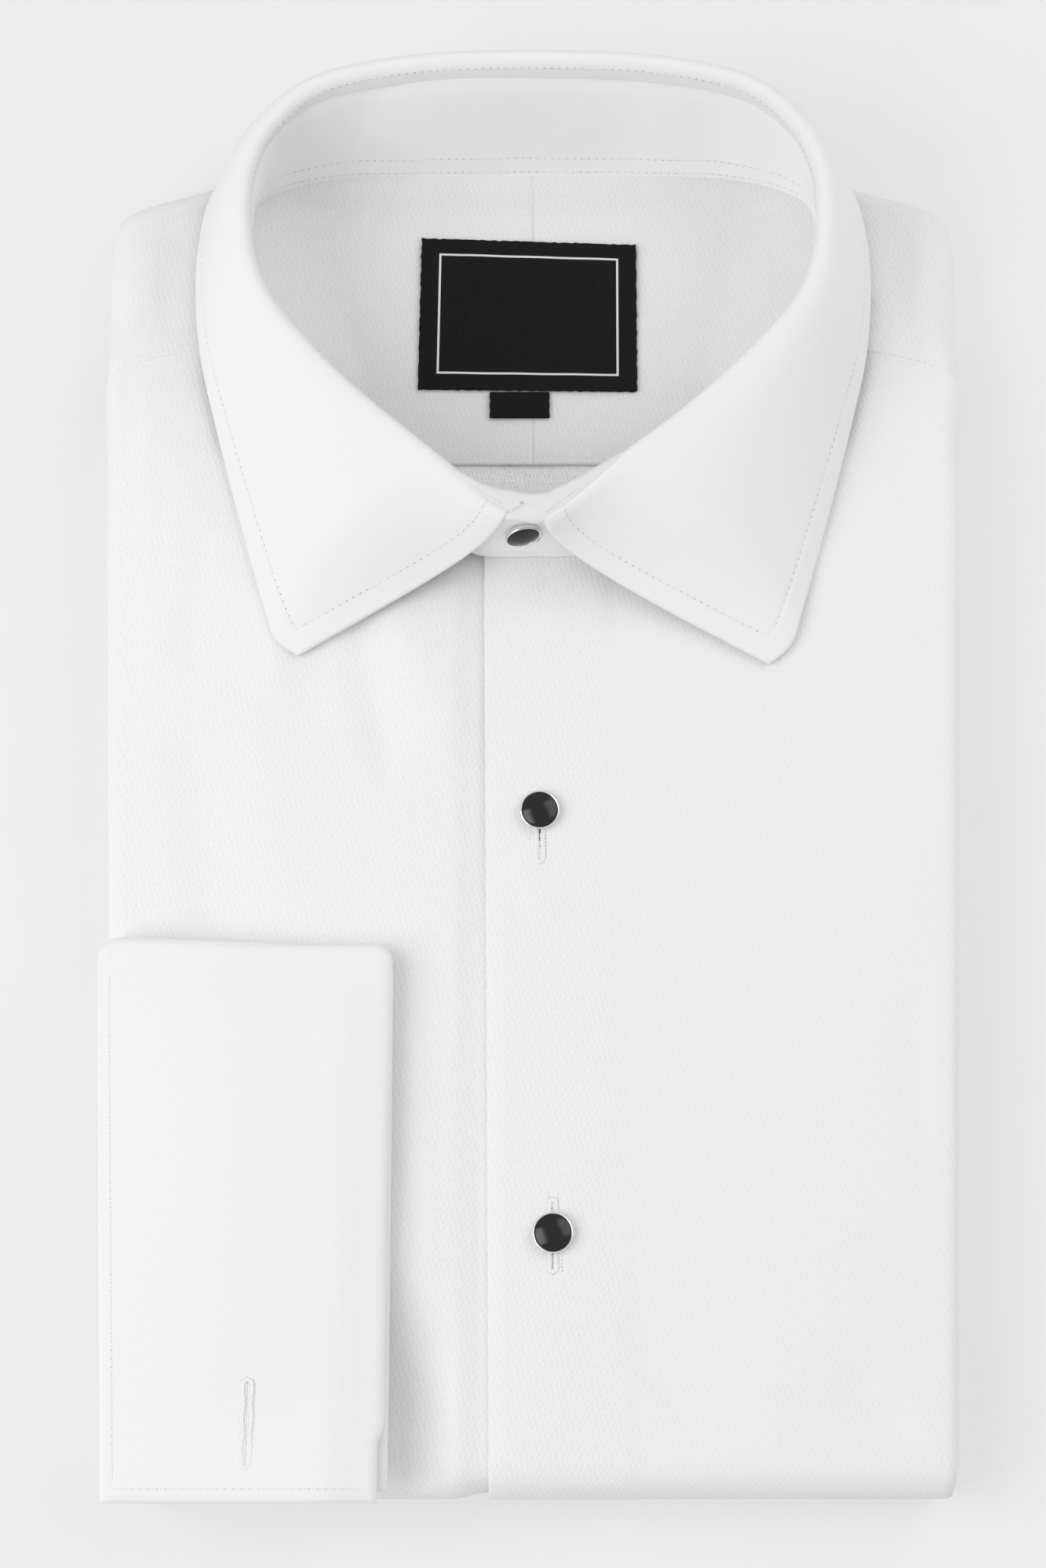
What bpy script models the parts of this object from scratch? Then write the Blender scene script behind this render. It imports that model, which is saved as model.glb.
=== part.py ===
"""A long sleeve dress shirt with a spread collar and double cuffs, buttoned, folded and laid front up.

Every piece is the closed solid of the cloth that a maker cuts. Sizes are in millimetres here and are
scaled to metres in one place, publish(). +X is the wearer's left, +Y points to the collar, +Z is up.
The pack lies on z = 0: the upper half of the fronts shows on top, the tail is folded up beneath it.
"""

import math

import bpy
import numpy as np

MM = 0.001

# ---- driving dimensions, millimetres
GAP = 0.35                    # between neighbouring pieces
FRONT_CLOTH = 1.25            # wall of a body panel, with what is pressed flat against it
YOKE_CLOTH = 1.2
COLLAR_CLOTH = 1.7            # two plies and the interlining
COLLAR_ROLL = 2.0             # radius of the fold, on the middle of the wall
LEAF_RISE = 2.85              # how far the leaf reaches down inside, from the start of its fold
LEAF_FLARE = 1.6              # the ends of the leaf turn forward
LEAF_BOW = 11.5               # pull that bows the leaf's front edge forward
LEAF_FLATTEN = 4.5            # and lets it fall straight to the point
LAP_ROLL = 2.0                # the under-lap end folds wider, over the over-lap end of the stand
POINT_RISE = 2.2              # the right point of the leaf ends a little nearer the collar
CUFF_CLOTH = 2.8              # two plies, interlined, folded on themselves at the wrist
SLEEVE_CLOTH = 1.2
LABEL_THICKNESS = 0.7

LAYER_CLEAR = 0.9             # between a panel and what is folded inside it

REST_CENTRE_Y = 8.7           # middle of the whole length, measured from the middle of the pack

FOLD_Y = -167.0               # centre of the bottom fold
FOLD_RADIUS = 10.0            # half the height of the pack at the bottom fold
HEM_Y = 106.0                 # hem of the tail, on the underside
WIDTH_AT_FOLD = 102.4         # half widths
WIDTH_AT_CHEST = 114.4
CHEST_Y = 145.0
TAIL_INSET = 2.5              # the tail is folded a little narrower than the chest
TAIL_ROLL = 4.5               # radius of the tail's side folds
CREVICE_TOP = 11.4            # underside of the upper half at its side folds
CROWN = 1.2                   # how much higher the middle is than the sides
SIDE_RETURN = 5.0             # cloth that runs back inside a side fold

LAP = FRONT_CLOTH + GAP       # depth of the under-lap below the over-lap
FACING_EXTRA = 0.45           # how much the turned facing lifts the over-lap
PLACKET_X = (-12.8, -11.0)    # edge of the over-lap at the neck and at the bottom fold
FACING_X = (16.8, 22.3)       # edge of the facing at the neck and at the bottom fold
NECK_FRONT_Y = 61.3           # middle of the collar seam at the centre front
UNDERLAP_STEP = 4.6           # how far the under-lap end of the stand lies behind the over-lap end
BAND_BOW = 0.9                # how far the under-lap end curves back across the stud's flat button

STUD_DIAMETER = 10.0
COLLAR_STUD_DIAMETER = 9.2
SHANK_DIAMETER = 1.4
SLOT_WIDTH = 2.1              # buttonhole, held open by the shank
SLOT_LENGTH = 17.5
FRONT_STUDS = ((1.5, -8.0, 4.3), (4.6, -114.2, 0.5))   # x, y, and how far above the slot's middle
COLLAR_STUD = (-3.0, 36.0)    # x and height
STUD_BACK = (1.9, 0.7)        # radius and thickness of the flat button at the end of the shank
BUTTON_ROOM = 0.8             # depth that the flat buttons take up under the under-lap
STAND_LEAN = math.radians(10) # the front of the stand leans back

YOKE_EDGE_Y = 90.8            # lower edge of the inner yoke
YOKE_FLOOR = 10.0             # height of the inner yoke at the middle of the neck
BACK_PANEL_Y = 66.0           # how far the back panel is modelled beneath the fronts
FRONT_SEAM_Y = (118.6, 110.4)  # seam of front and yoke, at the collar and at the side fold
FRONT_SEAM_X = (69.0, 113.0)
COLLAR_SHIFT = -2.0           # the two sides of the collar meet a little to the wearer's right
LEAF_START = 0.54             # where the leaf begins, in rows of the collar's table
BAND_START = 0.47

CUFF_LEFT, CUFF_RIGHT = (-108.4, -102.6), -35.0   # the left edge at the cuff's top and at its bottom
CUFF_TOP, CUFF_BOTTOM = -43.0, -178.4
CUFF_TURN = 1.75              # radius of the half fold, on the middle of the wall
CUFF_SLIT_X, CUFF_SLIT_Y = -68.3, (-170.3, -149.8)
CUFF_SLIT_WIDTH = 1.4

LABEL_X, LABEL_Y = (-30.4, 27.9), (111.8, 154.4)
TAB_X, TAB_Y = (-11.6, 4.4), (103.8, 111.2)


def table(names, *rows):
    """Named columns from rows of numbers."""
    return dict(zip(names.split(), np.array(rows, float).T))


# height of the panels' outer face above the table, along the length
CHEST = table(
    "y z",
    (-167.0, 20.0), (-100.0, 20.6), (0.0, 21.6), (60.0, 22.6), (100.0, 21.6), (118.0, 20.4),
    (135.0, 18.9), (150.0, 17.0), (160.0, 15.0), (170.0, 12.2), (176.0, 10.9), (184.0, 10.0),
)

# half of the collar, from the centre front to the centre back: seam on the shirt, crest of the
# fold, and outer edge of the leaf
COLLAR = table(
    "seam_x seam_y fold_x fold_y fold_z edge_x edge_y edge_z",
    (0.0, 61.3, 0.0, 65.1, 47.3, 60.4, 30.6, 25.6),
    (9.0, 63.6, 8.6, 68.9, 48.0, 66.2, 36.0, 25.0),
    (20.0, 71.0, 19.5, 76.9, 48.7, 69.6, 47.0, 24.6),
    (33.0, 82.0, 32.0, 86.2, 49.3, 74.0, 62.5, 24.3),
    (46.0, 93.5, 45.0, 97.2, 49.7, 78.6, 79.5, 24.2),
    (58.0, 106.0, 57.0, 109.0, 50.0, 83.2, 97.5, 24.0),
    (67.0, 117.5, 66.5, 120.2, 50.0, 87.0, 114.0, 23.4),
    (72.6, 130.0, 71.8, 131.5, 50.0, 89.0, 131.0, 22.0),
    (75.8, 145.0, 73.8, 146.0, 50.0, 89.0, 148.5, 20.2),
    (76.6, 157.5, 72.4, 159.2, 50.0, 86.4, 164.5, 17.0),
    (73.4, 166.8, 66.6, 171.0, 50.0, 79.0, 178.6, 11.5),
    (57.0, 172.8, 54.0, 181.6, 50.0, 61.5, 188.6, 7.6),
    (29.0, 174.1, 29.0, 187.1, 50.0, 33.0, 193.8, 6.2),
    (0.0, 174.3, 0.0, 188.2, 50.0, 0.0, 195.0, 5.8),
)

# half of the pack's outline around the shoulder, against the same half of the collar seam
SHOULDER = table(
    "neck_x neck_y edge_x edge_y",
    (69.0, 119.0, 112.9, 110.8), (71.0, 125.0, 113.4, 121.0), (73.2, 132.0, 113.9, 131.5),
    (75.4, 142.0, 114.2, 142.0), (76.4, 150.0, 113.0, 152.0), (76.6, 156.5, 107.8, 158.6),
    (75.6, 162.5, 99.0, 164.2), (72.4, 167.6, 88.5, 170.0), (66.0, 171.0, 76.5, 175.4),
    (54.0, 173.1, 60.0, 179.8), (38.0, 173.9, 40.0, 181.8), (18.0, 174.2, 19.0, 182.5),
    (0.2, 174.3, 0.2, 182.7),
)


def spline(column, at):
    """A Catmull-Rom curve through a column, read at fractional row numbers."""
    at = np.asarray(at, float)
    last = len(column) - 1
    row = np.clip(np.floor(at).astype(int), 0, last - 1)
    t = at - row
    before = column[np.maximum(row - 1, 0)]
    start, end = column[row], column[row + 1]
    after = column[np.minimum(row + 2, last)]
    return 0.5 * (
        2 * start
        + (end - before) * t
        + (2 * before - 5 * start + 4 * end - after) * t**2
        + (3 * start - before - 3 * end + after) * t**3
    )


def ease(low, high, x):
    """0 below low, 1 above high, smooth between them. low may be the greater."""
    t = np.clip((np.asarray(x, float) - low) / (high - low), 0, 1)
    return t * t * (3 - 2 * t)


def half_width(y):
    return WIDTH_AT_FOLD + (y - FOLD_Y) * (WIDTH_AT_CHEST - WIDTH_AT_FOLD) / (CHEST_Y - FOLD_Y)


def between(pair, y):
    """A value given at the neck and at the bottom fold, at a place along the length."""
    return np.interp(y, (FOLD_Y, NECK_FRONT_Y), (pair[1], pair[0]))


def chest_height(x, y):
    """Outer face of the panels on top: the lengthwise profile and a crown across it."""
    crown = CROWN * (1 - (x / half_width(y)) ** 2) * ease(178, 140, y)
    return np.interp(y, CHEST["y"], CHEST["z"]) + crown


def seam_half(y):
    """Half width of the neck opening at the collar seam."""
    return np.interp(y, COLLAR["seam_y"], COLLAR["seam_x"])


def front_seam(x):
    """The seam of front and yoke: level near the collar, dropping towards the side fold."""
    along = np.clip((x - FRONT_SEAM_X[0]) / (FRONT_SEAM_X[1] - FRONT_SEAM_X[0]), 0, 1)
    return FRONT_SEAM_Y[0] + (FRONT_SEAM_Y[1] - FRONT_SEAM_Y[0]) * along**2.6


# ---- materials and meshes


def material(name, colour, roughness, metallic=0.0):
    made = bpy.data.materials.new(name)
    made.use_nodes = True
    shader = made.node_tree.nodes["Principled BSDF"]
    shader.inputs["Base Color"].default_value = (*colour, 1.0)
    shader.inputs["Roughness"].default_value = roughness
    shader.inputs["Metallic"].default_value = metallic
    return made


def publish(name, points, faces, finish, smooth=True):
    """One named object from points in millimetres. Faces are turned outwards as a whole."""
    points = (np.asarray(points, float).reshape(-1, 3) - (0, REST_CENTRE_Y, 0)) * MM
    used, index = np.unique(np.concatenate([np.ravel(f) for f in faces]), return_inverse=True)
    sizes = [len(f) for f in faces]
    flat = np.split(index, np.cumsum(sizes)[:-1])
    points = points[used]
    volume = 0.0
    for face in flat:
        a = points[face[0]]
        for b, c in zip(face[1:-1], face[2:]):
            volume += np.dot(a, np.cross(points[b], points[c]))
    if volume < 0:
        flat = [face[::-1] for face in flat]
    mesh = bpy.data.meshes.new(name)
    mesh.from_pydata(points.tolist(), [], [face.tolist() for face in flat])
    mesh.validate()
    mesh.materials.append(finish)
    if smooth:
        mesh.shade_smooth()
        mesh.set_sharp_from_angle(angle=math.radians(50))
    made = bpy.data.objects.new(name, mesh)
    bpy.context.scene.collection.objects.link(made)
    return made


def outward(face):
    """Unit normals of a grid of points."""
    along, across = np.gradient(face, axis=0), np.gradient(face, axis=1)
    turn = np.cross(along, across)
    return turn / np.maximum(np.linalg.norm(turn, axis=-1, keepdims=True), 1e-9)


def grid_cells(rows, columns):
    first = np.arange(rows - 1)[:, None] * columns + np.arange(columns - 1)
    return np.stack([first, first + 1, first + columns + 1, first + columns], -1)


def wall(name, face, back, finish, missing=()):
    """The closed solid between two grids of points. missing lists cells that are cut through."""
    rows, columns = face.shape[:2]
    cells = grid_cells(rows, columns)
    kept = np.ones(cells.shape[:2], bool)
    for row, column in missing:
        kept[row, column] = False
    quads = cells[kept]
    edges = np.concatenate([quads[:, [k, (k + 1) % 4]] for k in range(4)])
    both = {tuple(edge) for edge in edges.tolist()}
    rim = [edge for edge in both if edge[::-1] not in both]
    shift = rows * columns
    faces = quads.tolist() + (quads[:, ::-1] + shift).tolist()
    faces += [[b, a, a + shift, b + shift] for a, b in sorted(rim)]
    points = np.concatenate([face.reshape(-1, 3), back.reshape(-1, 3)])
    return publish(name, points, faces, finish)


def turned(name, profile, finish, steps=16):
    """A body of revolution about Z from radius and height pairs, closed at both ends of the axis."""
    profile = np.array(profile, float)
    around = np.arange(steps) * 2 * math.pi / steps
    rings = profile[1:-1]
    points = [(0, 0, profile[0, 1])]
    for radius, height in rings:
        points += [(radius * math.cos(a), radius * math.sin(a), height) for a in around]
    points.append((0, 0, profile[-1, 1]))
    last = len(points) - 1
    faces = []
    for k in range(steps):
        after = (k + 1) % steps
        faces.append([0, 1 + after, 1 + k])
        for ring in range(len(rings) - 1):
            base = 1 + ring * steps
            faces.append([base + k, base + after, base + steps + after, base + steps + k])
        base = 1 + (len(rings) - 1) * steps
        faces.append([base + k, base + after, last])
    points = np.array(points) + (0, REST_CENTRE_Y, 0)
    return publish(name, points, faces, finish)


WHITE_POPLIN = material("white piqué cotton", (0.82, 0.83, 0.85), 0.85)
WHITE_COLLAR = material("pressed white cotton", (0.86, 0.87, 0.89), 0.8)
INSIDE_COTTON = material("cotton, inner face", (0.74, 0.75, 0.78), 0.9)
BLACK_TAFFETA = material("black woven taffeta", (0.012, 0.012, 0.014), 0.55)
BLACK_ENAMEL = material("black enamel", (0.004, 0.004, 0.005), 0.06)
SILVER = material("polished silver plate", (0.8, 0.8, 0.8), 0.18, 1.0)


# ---- body: fronts, their hidden layers, yokes


def on_fold_path(run):
    """The panels' outer face from the chest, round the bottom fold and back along the table.

    run is the distance from the start of the bottom fold: above 0 on top, below 0 round the fold,
    and beyond half a turn on the underside. Gives y, z, the outward normal's y and z, and how far
    round the fold the place is, from 0 on top to 1 beneath.
    """
    turn = np.clip(-run / FOLD_RADIUS, 0, math.pi)
    beyond = np.maximum(-run - math.pi * FOLD_RADIUS, 0)
    y = FOLD_Y - FOLD_RADIUS * np.sin(turn) + np.maximum(run, 0) + beyond
    z = FOLD_RADIUS + FOLD_RADIUS * np.cos(turn)
    z = np.where(run > 0, np.interp(y, CHEST["y"], CHEST["z"]), z)
    return y, z, -np.sin(turn), np.cos(turn), turn / math.pi


def roll_radius(y, under):
    """Radius of the side folds: half the height of the layers that they wrap."""
    upper = (np.interp(y, CHEST["y"], CHEST["z"]) - CREVICE_TOP) / 2
    return upper + (TAIL_ROLL - upper) * under


def front(side, name):
    """A front panel: side is +1 for the over-lap on the wearer's left and -1 for the under-lap.

    Rows run from the yoke seam down to the hem, columns from the centre front out to the side
    fold, round it and back inside. x is measured away from the centre on the panel's own side.
    """
    over = side > 0
    neck_y = NECK_FRONT_Y + 1.0 + (0 if over else UNDERLAP_STEP)
    slots = []
    for _, stud_y, above in FRONT_STUDS:
        slots += [stud_y - above + SLOT_LENGTH / 2, stud_y - above - SLOT_LENGTH / 2]
    top = [118.6, 108.0, 97.0, 86.0, 76.0, neck_y + 1.5, neck_y, 30.0, slots[0], slots[1]]
    top += [-60.0, slots[2], slots[3], -148.0]
    bend = [-FOLD_RADIUS * math.radians(a) for a in range(0, 181, 30)]
    under = [-math.pi * FOLD_RADIUS - d for d in (30, 140, HEM_Y - FOLD_Y)]
    run = np.array([y - FOLD_Y for y in top] + bend + under)

    y, z, normal_y, normal_z, turn = (v[:, None] for v in on_fold_path(run))
    on_top = turn == 0
    edge = half_width(y) - TAIL_INSET * turn
    radius = roll_radius(y, turn)
    outer = edge - radius
    slot = np.interp(y, *zip(*sorted((s[1], s[0]) for s in FRONT_STUDS)))
    half = SLOT_WIDTH / 2
    placket, facing = between(PLACKET_X, y), between(FACING_X, y)
    if over:
        near = [placket, slot - half, slot + half, facing, facing + 2.5]
    else:
        near = [1.0 - facing, -slot - half, -slot + half, 0.3 - placket, 9.0 - placket, 20.0 - placket]
    near = np.concatenate(near, axis=1)
    share = np.linspace(0, 1, 5)[None, 1:]
    flat = np.concatenate([near, near[:, -1:] + share * (outer - near[:, -1:])], axis=1)
    # above the centre front the panel starts at the collar seam instead of at its front edge
    share = (flat - flat[:, :1]) / (outer - flat[:, :1])
    neck = seam_half(y)
    flat = np.where(on_top & (y > neck_y + 0.1), neck + share * (outer - neck), flat)

    # the top rows bend to the slanting yoke seam
    level = np.clip((y - 86) / (FRONT_SEAM_Y[0] - 86), 0, 1) * on_top
    angle = np.radians(np.arange(30, 181, 30))[None]

    def surface(inset):
        """The panel's face, or the face parallel to it at a depth of inset."""
        roll = radius - inset
        round_x = outer + roll * np.sin(angle)
        round_depth = radius - roll * np.cos(angle)
        x = np.concatenate([flat, round_x, outer - SIDE_RETURN], axis=1)
        depth = np.concatenate([flat * 0 + inset, round_depth, 2 * radius - inset], axis=1)
        place_y = y + (front_seam(np.minimum(x, edge)) - FRONT_SEAM_Y[0]) * level
        if over:
            lift = FACING_EXTRA * ease(facing + 2.5, facing, x) * (1 - turn)
        else:
            lift = -LAP * ease(13.5 - placket, 0.5 - placket, x)
        chest = np.interp(place_y, CHEST["y"], CHEST["z"])
        crown = (chest_height(x, place_y) - chest) * np.clip(1 - 4 * turn, 0, 1)
        crown[:, flat.shape[1]:] = 0
        lift = lift + crown
        height = np.where(on_top, chest, z)
        return np.stack(
            [side * x, place_y - normal_y * (depth - lift), height - normal_z * (depth - lift)], -1
        )

    slot_column = 1
    cut = [(top.index(slots[0]), slot_column), (top.index(slots[2]), slot_column)]
    return wall(name, surface(0), surface(FRONT_CLOTH), WHITE_POPLIN, cut)


def shoulder_lines(count):
    """The yoke's neck line, the pack's outline, the outline's plan normal, and the roll's height."""
    at = np.linspace(0, len(SHOULDER["edge_x"]) - 1, count)
    neck = np.stack([spline(SHOULDER["neck_x"], at), spline(SHOULDER["neck_y"], at)], -1)
    edge = np.stack([spline(SHOULDER["edge_x"], at), spline(SHOULDER["edge_y"], at)], -1)
    along = np.gradient(edge, axis=0)
    normal = np.stack([along[:, 1], -along[:, 0]], -1)
    normal /= np.linalg.norm(normal, axis=-1, keepdims=True)
    normal[0] = normal[1]
    normal[-1] = (0, 1)
    bottom = CREVICE_TOP * ease(130, 112, edge[:, 1])
    radius = 5.0 + 0 * bottom
    for _ in range(6):
        start = edge - normal * radius[:, None]
        radius = (chest_height(start[:, 0], start[:, 1]) - bottom) / 2
    return neck, edge, normal, radius, bottom


def yoke_outer(side, name):
    """Half of the outer yoke: from the collar seam over the shoulder fold to the underside."""
    neck, edge, normal, radius, bottom = shoulder_lines(20)
    start = edge - normal * radius[:, None]
    share = np.linspace(0, 1, 5)
    neck = neck + normal * 0.5
    flat = neck[:, None] + share[None, :, None] * (start - neck)[:, None]
    angle = np.radians(np.arange(30, 181, 30))
    # the front edge keeps clear of the front panel across its seam
    blend = ease(5, 0, np.arange(len(edge)))[:, None]

    def surface(inset):
        roll_radius = (radius - inset)[:, None]
        roll = start[:, None] + normal[:, None] * (roll_radius * np.sin(angle))[..., None]
        inward = (start - normal * SIDE_RETURN)[:, None]
        plan = np.concatenate([flat, roll, inward], axis=1)
        x, y = plan[..., 0], plan[..., 1]
        y = y + blend * (front_seam(x[0]) + 1.5 * GAP - y[0])
        middle = (bottom + radius)[:, None]
        roll_z = middle + roll_radius * np.cos(angle)
        flat_z = chest_height(flat[..., 0], y[:, : len(share)]) - inset
        flat_z[:, -1] = (middle + roll_radius)[:, 0]
        z = np.concatenate([flat_z, roll_z, roll_z[:, -1:]], axis=1)
        return np.stack([side * np.maximum(x, 0.2), y, z], axis=-1)

    return wall(name, surface(0), surface(YOKE_CLOTH), WHITE_POPLIN)


def yoke_inner(side, name):
    """Half of the inner yoke: flat in the middle of the neck, rising to the collar seam."""
    rows = np.linspace(0, 1, 11)[:, None]
    at = np.interp(rows, (0, 1), (3.8, 10.3))
    centre_y = YOKE_EDGE_Y + (174.0 - YOKE_EDGE_Y) * rows
    end_x, end_y = spline(COLLAR["seam_x"], at), spline(COLLAR["seam_y"], at)
    raised = ease(104, 124, end_y)
    end_x = end_x + 3.0 * (1 - raised) - 0.5 * raised
    end_y = np.where(rows == 0, YOKE_EDGE_Y, end_y) - 0.4 * raised
    across = np.array([0, 0.2, 0.4, 0.6, 0.74, 0.86, 0.94, 1.0])[None]
    x = 0.2 + (end_x - 0.2) * across
    y = centre_y + (end_y - centre_y) * across**5
    seam_z = chest_height(end_x, end_y)
    z = YOKE_FLOOR + (seam_z - YOKE_FLOOR) * raised * ease(0.66, 1.06, across)
    face = np.stack([side * x, y, z], axis=-1)
    return wall(name, face, face - (0, 0, YOKE_CLOTH), INSIDE_COTTON)


def back_panel():
    """The top of the back panel, under the lower edge of the inner yoke and on beneath the fronts."""
    y = np.linspace(BACK_PANEL_Y, YOKE_EDGE_Y + 3.0, 6)[:, None]
    x = np.linspace(-1, 1, 9)[None] * (seam_half(y) + 3.5)
    z = YOKE_FLOOR - YOKE_CLOTH - GAP + 0 * x
    face = np.stack([x, y + 0 * x, z], axis=-1)
    return wall("back_panel", face, face - (0, 0, YOKE_CLOTH), INSIDE_COTTON)


def folded_layers():
    """All that is folded inside, as one body: the upper half and the tail, parted at the sides.

    A section across at every station: its top follows the underside of the fronts, the inner yoke
    and the back panel, and its sides are two rounded lobes with a groove between them.
    """
    clear = FRONT_CLOTH + LAYER_CLEAR
    _, edge, normal, radius, _ = shoulder_lines(40)
    inset = edge - normal * (radius[:, None] + SIDE_RETURN + 1.2)
    order = np.argsort(inset[:, 1])
    y = np.array(
        [-172.9, -171.2, -168.0, -161.0, -160.0, -110, -50, 0, 40, 52, 60, 68, 80]
        + [94.5, 95.5, 102, 106.0, 107.0, 112, 120, 130, 140, 150, 158, 164, 168]
    )[:, None]
    base = np.interp(y, CHEST["y"], CHEST["z"])
    upper = (base - CREVICE_TOP) / 2
    lobes = (y > -160.5) & (y < 106.5)
    inner_end = half_width(y) - TAIL_INSET - TAIL_ROLL - SIDE_RETURN - 1.0
    outer = np.where(y > 108, np.interp(y, inset[order, 1], inset[order, 0]), inner_end)
    outer = np.minimum(outer, inner_end)
    beyond = (FOLD_Y - y).clip(0) / (FOLD_RADIUS - clear - LAP)
    round_end = np.sqrt(np.clip(1 - beyond**2, 0.02, 1))

    # half of the top, from the middle out: inside the neck, then on to the side
    ring = np.where(y < 62, 22.0, np.maximum(seam_half(y), 4.0))
    neck = np.minimum(ring, outer - 14)
    reach = np.where(y < 118, neck + 8.0, neck + 3.0)
    inside = np.array([0, 0.45, 0.8, 1.0])[None]
    outside = np.array([0.12, 0.55, 1.0])[None]
    half = np.concatenate([reach * inside, reach + (outer - reach) * outside], axis=1)
    lap = (LAP + BUTTON_ROOM) * ease(38, 26, half)
    panel = base + (chest_height(half, y) - base) * ease(-167, -150, y)
    top = panel - clear - np.where(y < 68, lap, 0)
    floor = YOKE_FLOOR - YOKE_CLOTH - 0.6 - np.where(y < 95, YOKE_CLOTH + GAP, 0)
    raised = ease(114, 136, y) * ease(0.82, 1.25, half / ring)
    floor = floor + np.maximum(top - floor, 0) * raised
    opened = ease(52, 60, y) * (half < ring + np.where(y < 118, 8.01, 2.0))
    top = top + np.minimum(floor - top, 0) * opened
    bottom = clear + np.where(y < HEM_Y + 4, LAP * ease(38, 26, half), 0)
    middle = FOLD_RADIUS
    top = middle + (top - middle) * round_end
    bottom = middle + (bottom - middle) * round_end

    # the side of a section: arc of the upper half, groove, arc of the tail, from top to bottom
    steps = np.radians([70, 35, 0, -45, -90])[None]
    up, down = upper - clear, TAIL_ROLL - clear
    up_x = half_width(y) - upper - 0.6 + up * np.cos(steps)
    up_z = base - upper + up * np.sin(steps)
    down_x = half_width(y) - TAIL_INSET - TAIL_ROLL - 0.6 + down * np.cos(steps)
    down_z = TAIL_ROLL - down * np.sin(steps) + 0 * y
    side_x = np.concatenate([up_x, inner_end, inner_end, down_x[:, ::-1]], axis=1)
    side_z = np.concatenate([up_z, up_z[:, -1:], down_z[:, -1:], down_z[:, ::-1]], axis=1)
    count = side_x.shape[1]
    # beyond the lobes' ends the side drops at their inner end, a little rounded
    share = (side_z - bottom[:, -1:]) / (top[:, -1:] - bottom[:, -1:])
    share = np.minimum(share[(lobes[:, 0]).argmax()], 1 - 0.02 * np.arange(1, count + 1))
    plain_z = bottom[:, -1:] + (top[:, -1:] - bottom[:, -1:]) * share
    side_x = np.where(lobes, side_x, outer + 0.6 * np.sin(math.pi * share))
    side_z = np.where(lobes, side_z, plain_z)

    ring_x = np.concatenate(
        [-half[:, :0:-1], half, side_x, half[:, ::-1], -half[:, 1:], -side_x[:, ::-1]], axis=1
    )
    ring_z = np.concatenate(
        [top[:, :0:-1], top, side_z, bottom[:, ::-1], bottom[:, 1:], side_z[:, ::-1]], axis=1
    )
    points = np.stack([ring_x, y + 0 * ring_x, ring_z], axis=-1)
    rows, around = ring_x.shape
    here, ahead = np.arange(around), (np.arange(around) + 1) % around
    first = np.arange(rows - 1)[:, None] * around
    faces = np.stack(
        [first + here, first + ahead, first + around + ahead, first + around + here], axis=-1
    ).reshape(-1, 4).tolist()
    # each end is closed by quads between the upper and the lower half of the section's outline
    wide, half_side = 2 * half.shape[1] - 1, count // 2
    above = [around - half_side + k for k in range(half_side)] + list(range(wide + half_side))
    below = [around - half_side - 1 - k for k in range(wide + 2 * half_side)]
    for row, turn in ((0, -1), (rows - 1, 1)):
        for k in range(len(above) - 1):
            quad = [above[k], above[k + 1], below[k + 1], below[k]]
            faces.append([corner + row * around for corner in quad][::turn])
    return publish("folded_layers", points, faces, INSIDE_COTTON)


# ---- collar


def collar_line(values, at, side):
    """A column of the collar's half table, read from the front (0) to the centre back."""
    return side * spline(COLLAR[values], at) if values.endswith("_x") else spline(COLLAR[values], at)


def collar_stations(count):
    """Row numbers of the half table and sides, from the under-lap side round to the over-lap side."""
    last = len(COLLAR["seam_x"]) - 1
    half = np.linspace(0, last, count)
    at = np.concatenate([half, half[-2::-1]])
    side = np.concatenate([-np.ones(count), np.ones(count - 1)])
    return at, side


def plan_normal(line):
    """Horizontal unit normals of a line, to the left of its way."""
    ahead = np.gradient(line[:, :2], axis=0)
    ahead /= np.linalg.norm(ahead, axis=-1, keepdims=True)
    return np.stack([-ahead[:, 1], ahead[:, 0], 0 * ahead[:, 0]], -1)


def collar_ring(count, start):
    """Stations right round the collar: the side, the row of the table, seam and fold points.

    The last value is 1 where the under-lap end of the leaf folds over the over-lap, else 0.
    """
    last = len(COLLAR["edge_x"]) - 1
    rows, side = collar_stations(count)
    at = start + rows * (1 - start / last)
    seam = np.stack([collar_line("seam_x", at, side), collar_line("seam_y", at, side)], -1)
    fold = np.stack([collar_line(c, at, side) for c in ("fold_x", "fold_y", "fold_z")], -1)
    near = ease(38, 8, np.abs(seam[:, 0])) * (seam[:, 1] < 120)
    # the under-lap side lies behind the over-lap side near the centre front
    for line in (seam, fold):
        line[:, 1] += UNDERLAP_STEP * (side < 0) * near
        line[:, 0] += COLLAR_SHIFT * near
    return rows, side, seam, fold, ease(1.4, 0, rows) * (side < 0)


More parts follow.
